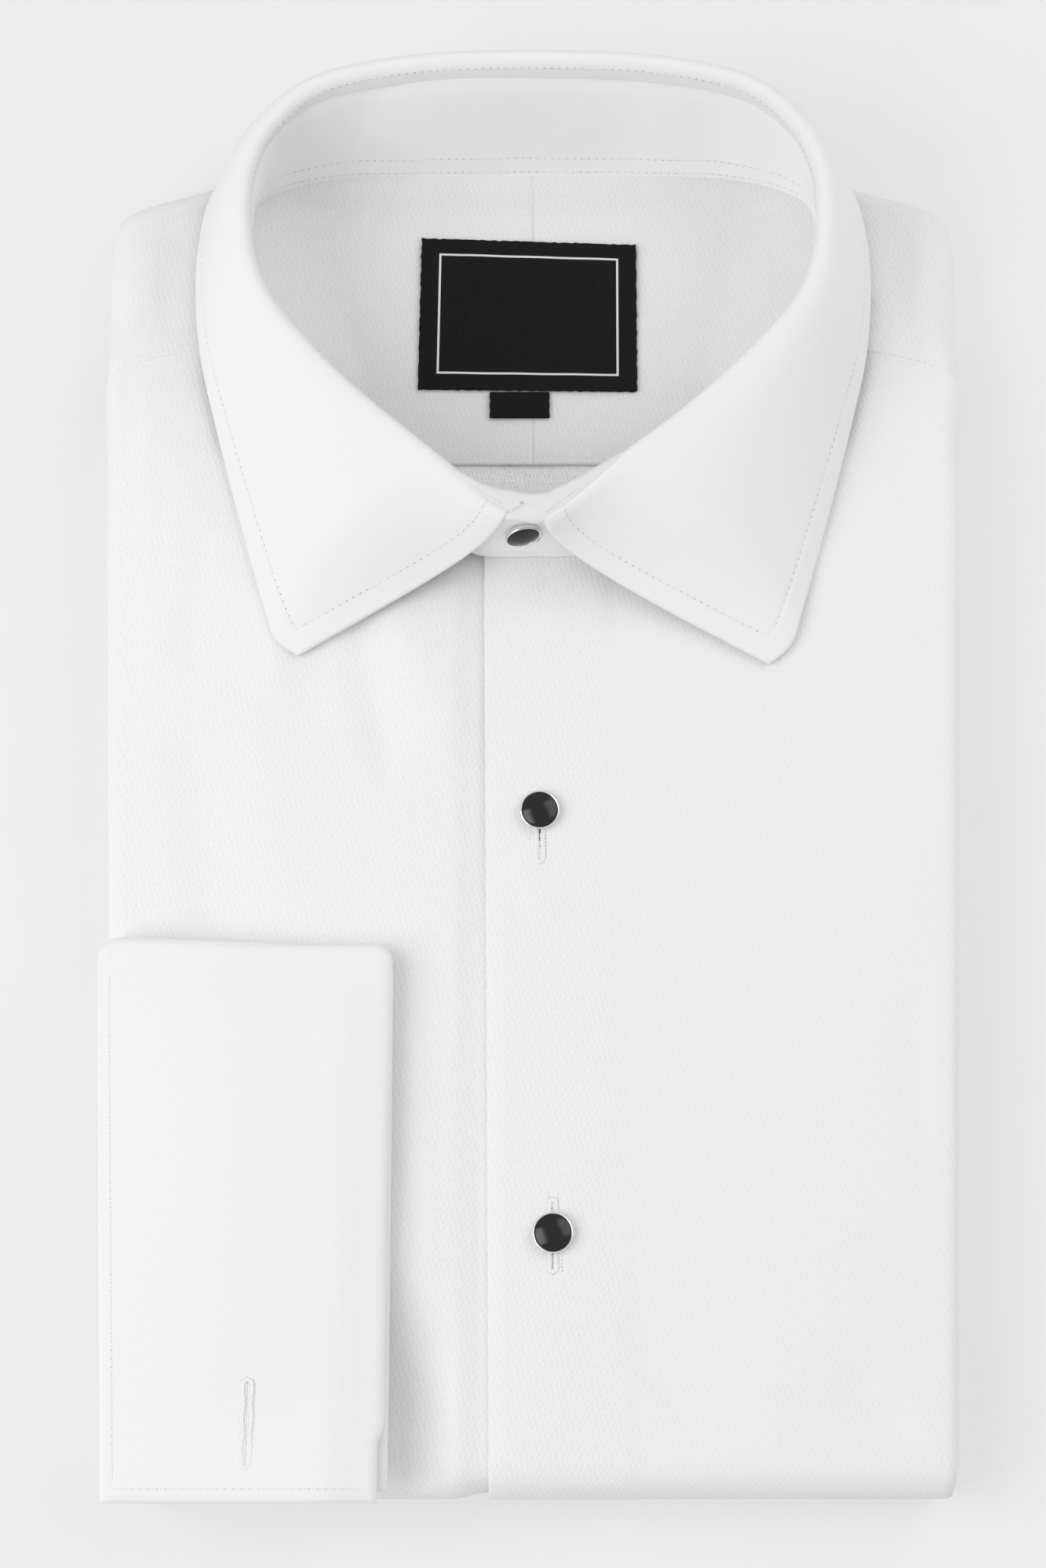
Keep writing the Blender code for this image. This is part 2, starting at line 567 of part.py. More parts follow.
def collar_stand():
    """The stand: a band round the neck whose two front ends lie over each other."""
    _, _, seam, fold, lap = collar_ring(22, BAND_START)
    drop = COLLAR_ROLL + COLLAR_CLOTH / 2 + LEAF_RISE + 0.6 + LAP_ROLL * lap
    slot = SLOT_WIDTH / 2
    stud_x = COLLAR_STUD[0]
    under_x = np.array([11.6, 10.8, 8.5, 4.0, stud_x + slot, stud_x - slot, stud_x - slot - 0.5])
    over_x = np.array([0.3, stud_x + slot, stud_x - slot, -8.5, -13.0, -15.4, -16.3])
    ends = []
    for x, step, height in ((under_x, UNDERLAP_STEP, 46.6), (over_x, 0.0, 46.2)):
        away = np.where(x > COLLAR_SHIFT, x - COLLAR_SHIFT, (COLLAR_SHIFT - x) * (step > 0))
        ring_y = np.interp(away, COLLAR["seam_x"][:4], COLLAR["seam_y"][:4])
        y = ring_y + step + 0.002 * np.minimum(x, 0) ** 2 * (step == 0)
        rise = height - chest_height(0, NECK_FRONT_Y)
        lean_y = y + rise * math.tan(STAND_LEAN)
        ends.append((np.stack([x, y], -1), np.stack([x, lean_y, np.full_like(x, height)], -1)))
    (under_seam, under_fold), (over_seam, over_fold) = ends
    seam = np.concatenate([under_seam, seam, over_seam])
    fold = np.concatenate([under_fold, fold, over_fold])
    drop = np.concatenate([under_x * 0, drop, over_x * 0])
    low = chest_height(seam[:, 0], seam[:, 1]) + GAP + 0.1
    low += FACING_EXTRA * ((seam[:, 0] > -14) & (seam[:, 0] < 26) & (seam[:, 1] < 76))
    # the ends are rounded
    low[-3:] += (0.15, 1.0, 3.4)
    fold[-4:, 2] -= (1.2, 4.0, 6.5, 9.5)
    low[:2] += (3.0, 0.8)
    fold[:2, 2] -= (4.0, 1.0)

    foot = np.stack([seam[:, 0], seam[:, 1], low], -1)
    run = fold - foot
    length = np.linalg.norm(run, axis=-1)
    top = foot + run * (1 - drop / length)[:, None]
    share = np.array([0, 0.25, 0.43, 0.575, 0.8, 1.0])
    face = foot[:, None] + share[None, :, None] * (top - foot)[:, None]
    offset = plan_normal(seam)[:, None] * COLLAR_CLOTH / 2
    rows = len(seam)
    cut = [(4, 2), (rows - 6, 2)]
    return wall("collar_stand", face + offset, face - offset, WHITE_COLLAR, cut)


def collar_leaf():
    """The leaf: up from the stand's top edge, over the fold and out to its edge and points."""
    rows, side, seam, fold, lap = collar_ring(22, LEAF_START)
    edge = np.stack([collar_line(c, rows, side) for c in ("edge_x", "edge_y", "edge_z")], -1)
    edge[:, 1] += POINT_RISE * ease(2.5, 0, rows) * (side < 0)
    foot = np.stack([seam[:, 0], seam[:, 1], chest_height(seam[:, 0], seam[:, 1])], -1)
    end = ease(1.4, 0, rows)
    fold[:, 1] -= LEAF_FLARE * end
    radius = (COLLAR_ROLL + LAP_ROLL * lap)[:, None]
    up = fold - foot
    up /= np.linalg.norm(up, axis=-1, keepdims=True)
    out = (edge - fold) * (1, 1, 0)
    reach = np.linalg.norm(out, axis=-1, keepdims=True)
    out = out / reach
    # near the front the fold turns square to its own line, not towards the point
    square = plan_normal(fold)
    square = square * np.sign((square * out).sum(-1, keepdims=True))
    bank = out * 0.45 + square * 0.55
    bank /= np.linalg.norm(bank, axis=-1, keepdims=True)
    turn_start = fold - up * radius - (0, 0, COLLAR_CLOTH / 2)
    start = turn_start - up * LEAF_RISE
    angle = np.radians((0, 30, 60, 90))[:, None, None]
    roll = turn_start + radius * (bank * (1 - np.cos(angle)) + up * np.sin(angle))
    crest = roll[-1]
    chord = edge - crest
    length = np.linalg.norm(chord, axis=-1, keepdims=True)
    forward = np.stack([out[:, 1] * side, -out[:, 0] * side, 0 * side], -1)
    handle = crest + bank * 1.6 + out * 0.24 * reach + forward * (LEAF_BOW * end)[:, None]
    flatness = ease(20, 60, reach)
    landing = edge - chord * (0.30 + 0.08 * flatness) + np.array([0, 0, 1]) * 0.07 * length
    straight = ease(4.5, 0, rows)
    handle[:, 2] -= LEAF_FLATTEN * straight
    landing[:, 2] -= 0.55 * LEAF_FLATTEN * straight
    t = np.array((0.14, 0.28, 0.43, 0.58, 0.72, 0.86, 1.0))[:, None, None]
    fall = (
        (1 - t) ** 3 * crest + 3 * (1 - t) ** 2 * t * handle + 3 * (1 - t) * t**2 * landing + t**3 * edge
    )
    face = np.concatenate([start[None], roll, fall]).transpose(1, 0, 2)
    half = COLLAR_CLOTH / 2 * outward(face)
    return wall("collar_leaf", face + half, face - half, WHITE_COLLAR)


# ---- cuff, sleeve, labels, studs


def cuff_right():
    """The double cuff: a folded wall, folded again in half at its upper end."""
    slit = CUFF_SLIT_X + np.array([-0.5, 0.5]) * CUFF_SLIT_WIDTH
    columns = np.array([-100.0, -94.0, -82.0, *slit, -56.0, -46.0, -40.5, -37.6, -36.0, -35.2, CUFF_RIGHT])
    thin = np.array([1, 1, 1, 1, 1, 1, 1, 1, 1, 1, 0.86, 0.6, 0.14])[None]
    run = [CUFF_SLIT_Y[0], CUFF_SLIT_Y[1], -120.0, -85.0, -60.0]
    upper = np.array([CUFF_BOTTOM] + run + [CUFF_TOP - 8])
    turn = np.radians(np.arange(90, -91, -30))
    y = np.concatenate([upper, CUFF_TOP - 3.2 + CUFF_TURN * np.cos(turn), upper[::-1]])
    y[-1] = CUFF_BOTTOM + 3.0
    level = np.concatenate([upper * 0 + 1, np.sin(turn), upper * 0 - 1])[:, None]
    left = np.interp(y, (CUFF_BOTTOM, CUFF_TOP), CUFF_LEFT[::-1])[:, None]
    columns = np.concatenate([left, columns + 0 * left], axis=1)
    below = CUFF_CLOTH / 2
    floor = chest_height(columns, np.maximum(y[:, None], -160)) + GAP + 0.1
    floor = floor + (SLEEVE_CLOTH + GAP) * ease(-70, -84, columns)
    loft = 1.1 * (level + 1) / 2 * ease(CUFF_RIGHT, CUFF_RIGHT - 16, columns)
    loft = loft * ease(0, 24, np.abs(y[:, None] - CUFF_TOP))
    z = floor + below + CUFF_TURN * (1 + level) + loft
    shift = np.where(level > 0, -1.6, 0.0) * (columns > -60)
    middle = np.stack([columns + shift * np.clip(level, 0, 1) + 0 * z, y[:, None] + 0 * z, z], -1)
    turn_y = np.concatenate([upper * 0, np.cos(turn), upper * 0])[:, None]
    normal = np.stack([0 * z, turn_y + 0 * z, level + 0 * z], -1)
    half = (thin * below)[..., None]
    cut = [(1, 4), (len(y) - 3, 4)]
    return wall("cuff_right", middle + normal * half, middle - normal * half, WHITE_COLLAR, cut)


def sleeve_right():
    """The sleeve's end: out of the crevice, round the side fold and flat under the cuff."""
    y = np.linspace(-157.0, -47.0, 7)[:, None]
    face_z = np.interp(y, CHEST["y"], CHEST["z"])
    radius = (face_z - CREVICE_TOP) / 2 + GAP + 0.15
    outer = half_width(y) - (face_z - CREVICE_TOP) / 2
    angle = np.radians(np.arange(0, 181, 30))[None]
    x = np.concatenate(
        [outer - 10 + 0 * y, outer - 5, outer + radius * np.sin(angle), outer - 4.0], axis=1
    )
    flat_z = np.concatenate([chest_height(outer - 10, y), chest_height(outer - 5, y)], axis=1) + GAP + 0.15
    roll_z = face_z - (face_z - CREVICE_TOP) / 2 + radius * np.cos(angle)
    z = np.concatenate([flat_z, roll_z, roll_z[:, -1:]], axis=1)
    inner = np.stack([-x, y + 0 * x, z], -1)
    normal = outward(inner)
    if normal[4, 1, 2] < 0:
        normal = -normal
    return wall("sleeve_right", inner + normal * SLEEVE_CLOTH, inner, WHITE_POPLIN)


def label(name, x_range, y_range, lift, finish):
    """A woven piece that lies on the inner yoke."""
    x = np.linspace(*x_range, 7)[None]
    y = np.linspace(*y_range, 5)[:, None]
    z = YOKE_FLOOR + GAP + lift + LABEL_THICKNESS + 0 * (x + y)
    face = np.stack([x + 0 * y, y + 0 * x, z], -1)
    return wall(name, face, face - (0, 0, LABEL_THICKNESS), finish)


def stud(name, diameter, grip, place, tilt):
    """A dress stud: a plated cup with its shank and flat button, and an enamel face in the cup.

    grip is the length of the shank, from under the cup to the button behind the cloth.
    """
    radius, rim, shank = diameter / 2, 0.5, SHANK_DIAMETER / 2
    button, thick = STUD_BACK
    cup = [
        (0, -grip - thick), (button - 0.2, -grip - thick), (button, -grip), (shank, -grip),
        (shank, 0.0), (radius * 0.8, 0.0), (radius, 0.7), (radius, 1.5), (radius - 0.25, 1.7),
        (radius - rim, 1.5), (radius - rim, 0.9), (0, 0.9),
    ]
    inner = radius - rim - GAP
    face = [(0, 0.9 + GAP), (inner, 0.9 + GAP)]
    face += [(inner * math.cos(a), 1.7 + 0.9 * math.sin(a)) for a in np.radians((0, 25, 50, 72))]
    face.append((0, 2.6))
    for piece, profile, finish in (("setting", cup, SILVER), ("enamel", face, BLACK_ENAMEL)):
        made = turned(f"{name}_{piece}", profile, finish)
        x, y, z = place
        made.location = (x * MM, (y - REST_CENTRE_Y) * MM, z * MM)
        made.rotation_euler = (tilt, 0, 0)


for existing in list(bpy.data.objects):
    bpy.data.objects.remove(existing, do_unlink=True)

front(1, "front_left")
front(-1, "front_right")
yoke_outer(1, "yoke_outer_left")
yoke_outer(-1, "yoke_outer_right")
yoke_inner(1, "yoke_inner_left")
yoke_inner(-1, "yoke_inner_right")
back_panel()
folded_layers()
collar_stand()
collar_leaf()
cuff_right()
sleeve_right()
label("neck_label", LABEL_X, LABEL_Y, 0.0, BLACK_TAFFETA)
label("size_tab", TAB_X, TAB_Y, 0.0, BLACK_TAFFETA)

both_fronts = 2 * FRONT_CLOTH + FACING_EXTRA + 3 * GAP
for number, (stud_x, stud_y, _) in enumerate(FRONT_STUDS, start=1):
    cloth_z = float(chest_height(stud_x, stud_y)) + FACING_EXTRA
    stud(f"stud_{number}", STUD_DIAMETER, both_fronts, (stud_x, stud_y, cloth_z + GAP), 0.0)

both_bands = (UNDERLAP_STEP + COLLAR_CLOTH) * math.cos(STAND_LEAN) + BAND_BOW + 2 * GAP
rise = COLLAR_STUD[1] - float(chest_height(0, NECK_FRONT_Y))
collar_y = NECK_FRONT_Y + rise * math.tan(STAND_LEAN) - (COLLAR_CLOTH / 2 + GAP) / math.cos(STAND_LEAN)
collar_place = (COLLAR_STUD[0], collar_y, COLLAR_STUD[1])
stud("stud_collar", COLLAR_STUD_DIAMETER, both_bands, collar_place, math.pi / 2 - STAND_LEAN)
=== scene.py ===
# %% [markdown]
# # A long sleeve dress shirt, folded, packed and laid front up
#
# The real thing is a formal white shirt with a spread collar, a plain front closed by black
# studs, and one double cuff brought round to the front. It is cloth all over, so the lesson
# is about cloth: each piece is a thin closed wall worked out with numpy, and each finish is
# a weave drawn by nodes at its real size. The first cell loads the solid model as a fixed
# frame. Nothing in it is moved. Every new piece of cloth and every stud takes the place of
# one of its nodes, and the sewing is added to them.

# %% Load the frame
import math

import bpy
import numpy as np
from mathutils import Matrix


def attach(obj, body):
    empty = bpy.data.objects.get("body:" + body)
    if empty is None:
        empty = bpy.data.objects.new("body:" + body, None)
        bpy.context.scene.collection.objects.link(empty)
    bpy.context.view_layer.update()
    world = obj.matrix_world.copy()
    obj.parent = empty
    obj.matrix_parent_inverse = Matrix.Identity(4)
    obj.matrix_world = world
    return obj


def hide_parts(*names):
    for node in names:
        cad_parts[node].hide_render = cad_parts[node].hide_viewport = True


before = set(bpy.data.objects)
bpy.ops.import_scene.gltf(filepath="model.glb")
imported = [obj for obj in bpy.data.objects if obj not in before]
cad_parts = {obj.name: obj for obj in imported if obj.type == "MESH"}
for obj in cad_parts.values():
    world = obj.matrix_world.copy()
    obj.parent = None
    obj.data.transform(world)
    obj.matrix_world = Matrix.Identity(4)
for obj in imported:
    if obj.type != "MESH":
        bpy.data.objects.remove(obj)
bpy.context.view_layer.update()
print("nodes in the frame:", len(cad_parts))

# %% [markdown]
# ## Sizes
#
# A shirt maker thinks in millimetres, so the shapes are worked out in millimetres about the
# middle of the shirt's body and are turned to metres in one place. +X is the wearer's left,
# +Y points to the collar and +Z is up. The sizes are those of the solids, by name.

# %% Sizes in millimetres
MM = 0.001
REST_CENTRE_Y = 8.7           # middle of the whole length, measured from the middle of the body
GAP = 0.35                    # between neighbouring pieces
FRONT_CLOTH, YOKE_CLOTH, COLLAR_CLOTH, CUFF_CLOTH, SLEEVE_CLOTH = 1.25, 1.2, 1.7, 2.8, 1.2
LIP_CLOTH = COLLAR_CLOTH * 0.8   # the rolled tops of the stand's ends
LABEL_THICKNESS = 0.7
COLLAR_ROLL, LAP_ROLL = 2.0, 2.0   # radius of the collar's fold, and how much wider at the lap
LEAF_RISE, LEAF_FLARE, LEAF_FLATTEN, POINT_RISE = 2.85, 0.6, 4.5, 2.2
LEAF_BACK = 2.3               # the over-lap's rolled top shows this far in front of the leaf
LEAF_STITCH = 6.0             # topstitching in from the leaf's edges, in a groove
GROOVE_DEPTH, EDGE_LIFT = 0.17, 0.1
POINT_DROP = 1.2              # the two points lie down on the fronts
FRONT_ROLL = 1.3              # how much wider the leaf folds at its front ends
LAYER_CLEAR = 0.9             # between a panel and what is folded inside it
FOLD_Y, FOLD_RADIUS, HEM_Y = -167.0, 10.0, 106.0
WIDTH_AT_FOLD, WIDTH_AT_CHEST, CHEST_Y = 102.4, 114.4, 145.0
TAIL_INSET, TAIL_ROLL, CREVICE_TOP = 2.5, 4.5, 11.4
CROWN, SIDE_RETURN = 1.2, 5.0
LAP = FRONT_CLOTH + GAP       # depth of the under-lap below the over-lap
FACING_EXTRA = 0.32           # how much the turned facing lifts the over-lap
EDGE_PRESS = 0.65             # and how much its edge is pressed down again below the chest
PLACKET_X, FACING_X = (-12.8, -11.0), (16.8, 22.3)   # each at the neck and at the bottom fold
NECK_FRONT_Y, UNDERLAP_STEP, BAND_BOW = 61.3, 4.6, 0.9
STUD_DIAMETER, COLLAR_STUD_DIAMETER, SHANK_DIAMETER = 10.0, 9.2, 1.4
SLOT_LENGTH = 17.5
FRONT_STUDS = ((1.5, -8.0, 4.3), (4.6, -114.2, 0.5))   # x, y, and how far above the slot's middle
COLLAR_STUD, COLLAR_STUD_YAW = (-3.0, 36.0), math.radians(13)   # x, z and how far it turns
STUD_BACK = (1.9, 0.7)
BUTTON_ROOM = 0.8
STAND_LEAN = math.radians(10)
YOKE_EDGE_Y, YOKE_TOP_Y, YOKE_FLOOR, BACK_PANEL_Y = 90.8, 174.0, 10.0, 66.0
FRONT_SEAM_Y, FRONT_SEAM_X = (118.6, 110.4), (69.0, 113.0)
SEAM_RIDGE = 0.2              # the seam allowance under the yoke lifts it beside the seam
COLLAR_SHIFT, LEAF_START, BAND_START = -2.0, 0.54, 0.47
UNDERLAP_SAG = 1.0            # the fold of the under-lap side lies this much nearer the front
# the seam of the over-lap side: level at this y, then climbing between two x
OVERLAP_SEAM = (60.7, 11.0, 30.0)
CUFF_LEFT, CUFF_RIGHT = (-108.4, -102.6), -35.0
CUFF_TOP, CUFF_BOTTOM, CUFF_TURN = -43.0, -178.4, 1.75
CUFF_SLIT_X, CUFF_SLIT_Y = -68.3, (-170.3, -149.8)
CUFF_SLANT, CUFF_LIFT = 1.6, 3.0   # its fold isn't level, and its lower corner stands off
CUFF_HOLLOW = 4.8             # and the shirt is pressed down beside that corner
CUFF_LOFT, CUFF_SLIP = 2.1, -2.3   # how the upper ply stands up, and how far it has slipped
LABEL_X, LABEL_Y = (-30.4, 27.9), (111.8, 154.4)
TAB_X, TAB_Y = (-11.6, 4.4), (103.8, 111.2)


def table(names, *rows):
    """Named columns from rows of numbers."""
    return dict(zip(names.split(), np.array(rows, float).T))


# height of the panels' outer face above the table, along the length
CHEST = table(
    "y z",
    (-167, 20), (-100, 20.6), (0, 21.6), (60, 22.6), (100, 21.6), (118, 20.4),
    (135, 18.9), (150, 17), (160, 15), (170, 12.2), (176, 10.9), (184, 10),
)
# half of the collar, from the centre front to the centre back
COLLAR = table(
    "seam_x seam_y fold_x fold_y fold_z edge_x edge_y edge_z",
    (0, 61.3, 0, 65.1, 47.3, 60.4, 30.6, 25.6),
    (9, 63.6, 8.6, 68.9, 48, 66.2, 36, 25),
    (20, 71, 19.5, 76.9, 48.7, 69.6, 47, 24.6),
    (33, 82, 32, 86.2, 49.3, 74, 62.5, 24.3),
    (46, 93.5, 45, 97.2, 49.7, 78.6, 79.5, 24.2),
    (58, 106, 57, 109, 50, 83.2, 97.5, 24),
    (67, 117.5, 66.5, 120.2, 50, 87, 114, 23.4),
    (72.6, 130, 71.8, 131.5, 50, 89, 131, 22),
    (75.8, 145, 73.8, 146, 50, 89, 148.5, 20.2),
    (76.6, 157.5, 72.4, 159.2, 50, 86.4, 164.5, 17),
    (73.4, 166.8, 66.6, 171, 50, 79, 178.6, 11.5),
    (57, 172.8, 54, 181.6, 50, 61.5, 188.6, 7.6),
    (29, 174.1, 29, 187.1, 50, 33, 193.8, 6.2),
    (0, 174.3, 0, 188.2, 50, 0, 195, 5.8),
)
# half of the outline around the shoulder, against the same half of the collar seam
SHOULDER = table(
    "neck_x neck_y edge_x edge_y",
    (69, 119, 112.9, 110.8), (71, 125, 113.4, 121), (73.2, 132, 113.9, 131.5),
    (75.4, 142, 114.2, 142.5), (76.4, 150, 114, 153.6), (76.6, 156.5, 111.6, 161.4),
    (75.6, 162.5, 104.8, 165.6), (72.4, 167.6, 92.6, 169.6), (66, 171, 78, 175),
    (54, 173.1, 60, 179.8), (38, 173.9, 40, 181.8), (18, 174.2, 19, 182.5),
    (0.2, 174.3, 0.2, 182.7),
)
print("body", 2 * WIDTH_AT_CHEST, "mm wide at the chest")

# %% [markdown]
# ## Curves and heights
#
# A few small functions describe the lie of the whole shirt: how high the cloth is at any
# place, how wide it is folded, and where its seams run. Every piece asks them, so
# neighbours meet without being fitted by eye.


# %% Curves and heights
def spline(column, at):
    """A Catmull-Rom curve through a column of numbers, read at fractional row numbers."""
    at = np.asarray(at, float)
    last = len(column) - 1
    row = np.clip(np.floor(at).astype(int), 0, last - 1)
    t = (at - row).reshape(at.shape + (1,) * (np.ndim(column) - 1))
    before, start = column[np.maximum(row - 1, 0)], column[row]
    end, after = column[row + 1], column[np.minimum(row + 2, last)]
    return 0.5 * (
        2 * start
        + (end - before) * t
        + (2 * before - 5 * start + 4 * end - after) * t**2
        + (3 * start - before - 3 * end + after) * t**3
    )


def curve(columns, names, at):
    """A curve through the named columns of a table, at fractional row numbers."""
    return np.stack([spline(columns[name], at) for name in names.split()], -1)


def ease(low, high, x):
    """0 below low, 1 above high, smooth between them. low may be the greater."""
    t = np.clip((np.asarray(x, float) - low) / (high - low), 0, 1)
    return t * t * (3 - 2 * t)


def half_width(y):
    """Half the folded width, which tapers from the chest to the bottom fold."""
    return WIDTH_AT_FOLD + (y - FOLD_Y) * (WIDTH_AT_CHEST - WIDTH_AT_FOLD) / (CHEST_Y - FOLD_Y)


def between(pair, y):
    """A value given at the neck and at the bottom fold, at a place along the length."""
    return np.interp(y, (FOLD_Y, NECK_FRONT_Y), (pair[1], pair[0]))


def side_height(y):
    """Outer face of the panels on top, at the side folds."""
    return np.interp(y, CHEST["y"], CHEST["z"])


def chest_height(x, y):
    """Outer face of the panels on top: the lengthwise profile and a crown across it."""
    return side_height(y) + CROWN * (1 - (x / half_width(y)) ** 2) * ease(178, 140, y)


def seam_half(y):
    """Half width of the neck opening at the collar seam."""
    return np.interp(y, COLLAR["seam_y"], COLLAR["seam_x"])


def front_seam(x):
    """The seam of front and yoke: level near the collar, dropping towards the side fold."""
    along = np.clip((x - FRONT_SEAM_X[0]) / (FRONT_SEAM_X[1] - FRONT_SEAM_X[0]), 0, 1)
    return FRONT_SEAM_Y[0] + (FRONT_SEAM_Y[1] - FRONT_SEAM_Y[0]) * along**2.6


def stations(start, end, step, rim=0.0):
    """Places from start to end about step apart, and closer to each end for a rounded rim."""
    sign, length = np.sign(end - start), abs(end - start)
    close = rim * (1 - np.cos(np.radians((0, 30, 60)))) if rim else np.zeros(0)
    inner = np.linspace(rim, length - rim, max(2, round((length - 2 * rim) / step) + 1))
    return start + sign * np.concatenate([close, inner, (length - close)[::-1]])


def segments(ends, counts):
    """Columns that run through the given ends, each stretch cut into its count of equal steps."""
    parts = [a + (b - a) * np.arange(n) / n for a, b, n in zip(ends[:-1], ends[1:], counts)]
    return np.concatenate([*parts, ends[-1]], axis=1)


print("height of the chest at the neck", round(float(chest_height(0, 60)), 2), "mm")

# %% [markdown]
# ## A wall of cloth
#
# Cut cloth has two faces a little apart and a soft rounded edge. So a piece is made of two
# grids of points, and the strip between their rims closes it. Near a rim the two grids
# come together along a circle, which gives the folded or turned edge of a real hem. Each
# point also keeps its place on the flat cloth, in millimetres, as its UV. A weave drawn on
# that UV then follows the cloth round every fold.


# %% Walls and meshes
def roundness(distance, rim):
    """Half thickness, from 0 at the rim to 1, along a quarter circle as deep as rim."""
    share = np.clip(distance / rim, 0, 1)
    return np.maximum(np.sqrt(np.clip(1 - (1 - share) ** 2, 0, 1)), 0.12)


def unit(vectors):
    """Vectors of the same directions and of length 1. A zero vector stays zero."""
    return vectors / np.maximum(np.linalg.norm(vectors, axis=-1, keepdims=True), 1e-9)


def travelled(points, axis=0):
    """The way gone along a line of points, or along each line of a grid, starting at 0."""
    steps = np.cumsum(np.linalg.norm(np.diff(points, axis=axis), axis=-1), axis=axis)
    return np.concatenate([0 * steps.take([0], axis=axis), steps], axis=axis)


def outward(face):
    """Unit normals of a grid of points: the cross product of its two directions."""
    return unit(np.cross(np.gradient(face, axis=0), np.gradient(face, axis=1)))


def closed_wall(face, back, uv, keep=None):
    """Points, quads and UV of two grids and the strips that close their rims.

    keep is False for a cell that is cut out.
    """
    rows, columns = face.shape[:2]
    first = np.arange(rows - 1)[:, None] * columns + np.arange(columns - 1)
    quads = np.stack([first, first + 1, first + columns + 1, first + columns], -1)
    quads = quads.reshape(-1, 4) if keep is None else quads[keep]
    edges = np.concatenate([quads[:, [k, (k + 1) % 4]] for k in range(4)])
    count = rows * columns
    code, reverse = edges[:, 0] * count + edges[:, 1], edges[:, 1] * count + edges[:, 0]
    rim = edges[~np.isin(code, reverse)]
    strip = np.stack([rim[:, 1], rim[:, 0], rim[:, 0] + count, rim[:, 1] + count], -1)
    points, places = (np.concatenate([a.reshape(count, -1), b.reshape(count, -1)])
                      for a, b in ((face, back), (uv, uv)))
    return points, np.concatenate([quads, quads[:, ::-1] + count, strip]), places


def tube_quads(rings, around, closed=False):
    """Quads between neighbouring rings of points, and from the last to the first if closed."""
    first = np.arange(rings if closed else rings - 1)[:, None] * around
    ahead = (first + around) % (rings * around)
    k, beside = np.arange(around), (np.arange(around) + 1) % around
    return np.stack([first + k, first + beside, ahead + beside, ahead + k], -1).reshape(-1, 4)


def placed(name, data):
    """A new object in the scene."""
    made = bpy.data.objects.new(name, data)
    bpy.context.scene.collection.objects.link(made)
    return made


def make(name, parts, finish):
    """One object from (points, quads, uv) parts in millimetres, its faces turned outwards."""
    points, quads, places, base = [], [], [], 0
    for part, faces, uv in parts:
        used, index = np.unique(faces, return_inverse=True)
        faces, part, uv = index.reshape(faces.shape), part[used], uv[used]
        a, b, c, d = (part[faces[:, k]] for k in range(4))
        volume = (a * np.cross(b, c)).sum() + (a * np.cross(c, d)).sum()
        quads.append((faces if volume > 0 else faces[:, ::-1]) + base)
        points.append(part)
        places.append(uv)
        base += len(part)
    points = (np.concatenate(points) - (0, REST_CENTRE_Y, 0)) * MM
    quads, places = np.concatenate(quads), np.concatenate(places)
    mesh = bpy.data.meshes.new(name)
    mesh.from_pydata(points.tolist(), [], quads.tolist())
    layer = mesh.uv_layers.new(name="cloth")
    corner = np.zeros(len(mesh.loops), np.int32)
    mesh.loops.foreach_get("vertex_index", corner)
    layer.data.foreach_set("uv", places[corner].astype(np.float32).ravel())
    mesh.shade_smooth()
    mesh.materials.append(finish)
    print(f"{name}: {len(quads) * 2} triangles")
    return placed(name, mesh)


def cloth_piece(name, face, back, uv, finish, keep=None):
    """A wall of cloth as one object."""
    return make(name, [closed_wall(face, back, uv, keep)], finish)


def thicken(middle, wall, fade=1.0):
    """The two faces of a wall about its middle surface. fade thins it towards its rims."""
    half = (wall / 2 * fade)[..., None] * outward(middle)
    return middle + half, middle - half


def measured(grid):
    """Width, length and area of a grid of points along the cloth, in metres."""
    across = np.linalg.norm(np.diff(grid, axis=1), axis=-1)
    along = np.linalg.norm(np.diff(grid, axis=0), axis=-1)
    turn = np.cross(grid[1:, 1:] - grid[:-1, :-1], grid[:-1, 1:] - grid[1:, :-1])
    area = np.linalg.norm(turn, axis=-1).sum() / 2
    return across.sum(1).max() * MM, along.sum(0).max() * MM, area * MM * MM


def settle(piece, node, cut=None):
    """Puts a piece in the frame: what it rides on, what it stands for and, for cloth, its cut."""
    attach(piece, "root")
    if node:
        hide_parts(node)
    if cut is not None:
        width, length, area = measured(cut)
        area = min(max(area, 0.3 * width * length), width * length)
        print(f"   cut {width * 1000:.0f} x {length * 1000:.0f} mm, {area * 1e4:.0f} square cm")


# %% [markdown]
# ## Colours and nodes
#
# Colours are picked as the hex values of a screen, which are bent by a curve.
# Blender's shaders want straight light values, so one function unbends them. One more
# function adds a node with its settings and its links, whatever its kind, and short ones
# for the commonest kinds build on it.


# %% Colours and nodes
def linear(hex_colour):
    """Straight RGBA light values of an sRGB hex colour."""
    value = np.array([int(hex_colour[k:k + 2], 16) for k in (1, 3, 5)]) / 255
    straight = np.where(value <= 0.04045, value / 12.92, ((value + 0.055) / 1.055) ** 2.4)
    return (*straight.tolist(), 1.0)


def add(tree, kind, inputs=(), **settings):
    """Adds a node. inputs maps a socket's name or number to a value or to another node's output."""
    made = tree.nodes.new(kind)
    for name, value in settings.items():
        setattr(made, name, value)
    for key, value in dict(inputs).items():
        if isinstance(value, bpy.types.NodeSocket):
            tree.links.new(value, made.inputs[key])
        else:
            made.inputs[key].default_value = value
    return made


def blank(name):
    """A new material with its node tree and its shader."""
    made = bpy.data.materials.new(name)
    made.use_nodes = True
    return made, made.node_tree, made.node_tree.nodes["Principled BSDF"]


def dress(shader, **values):
    """Sets sockets of a shader. An underscore stands for the space in a socket's name."""
    for name, value in values.items():
        shader.inputs[name.replace("_", " ")].default_value = value


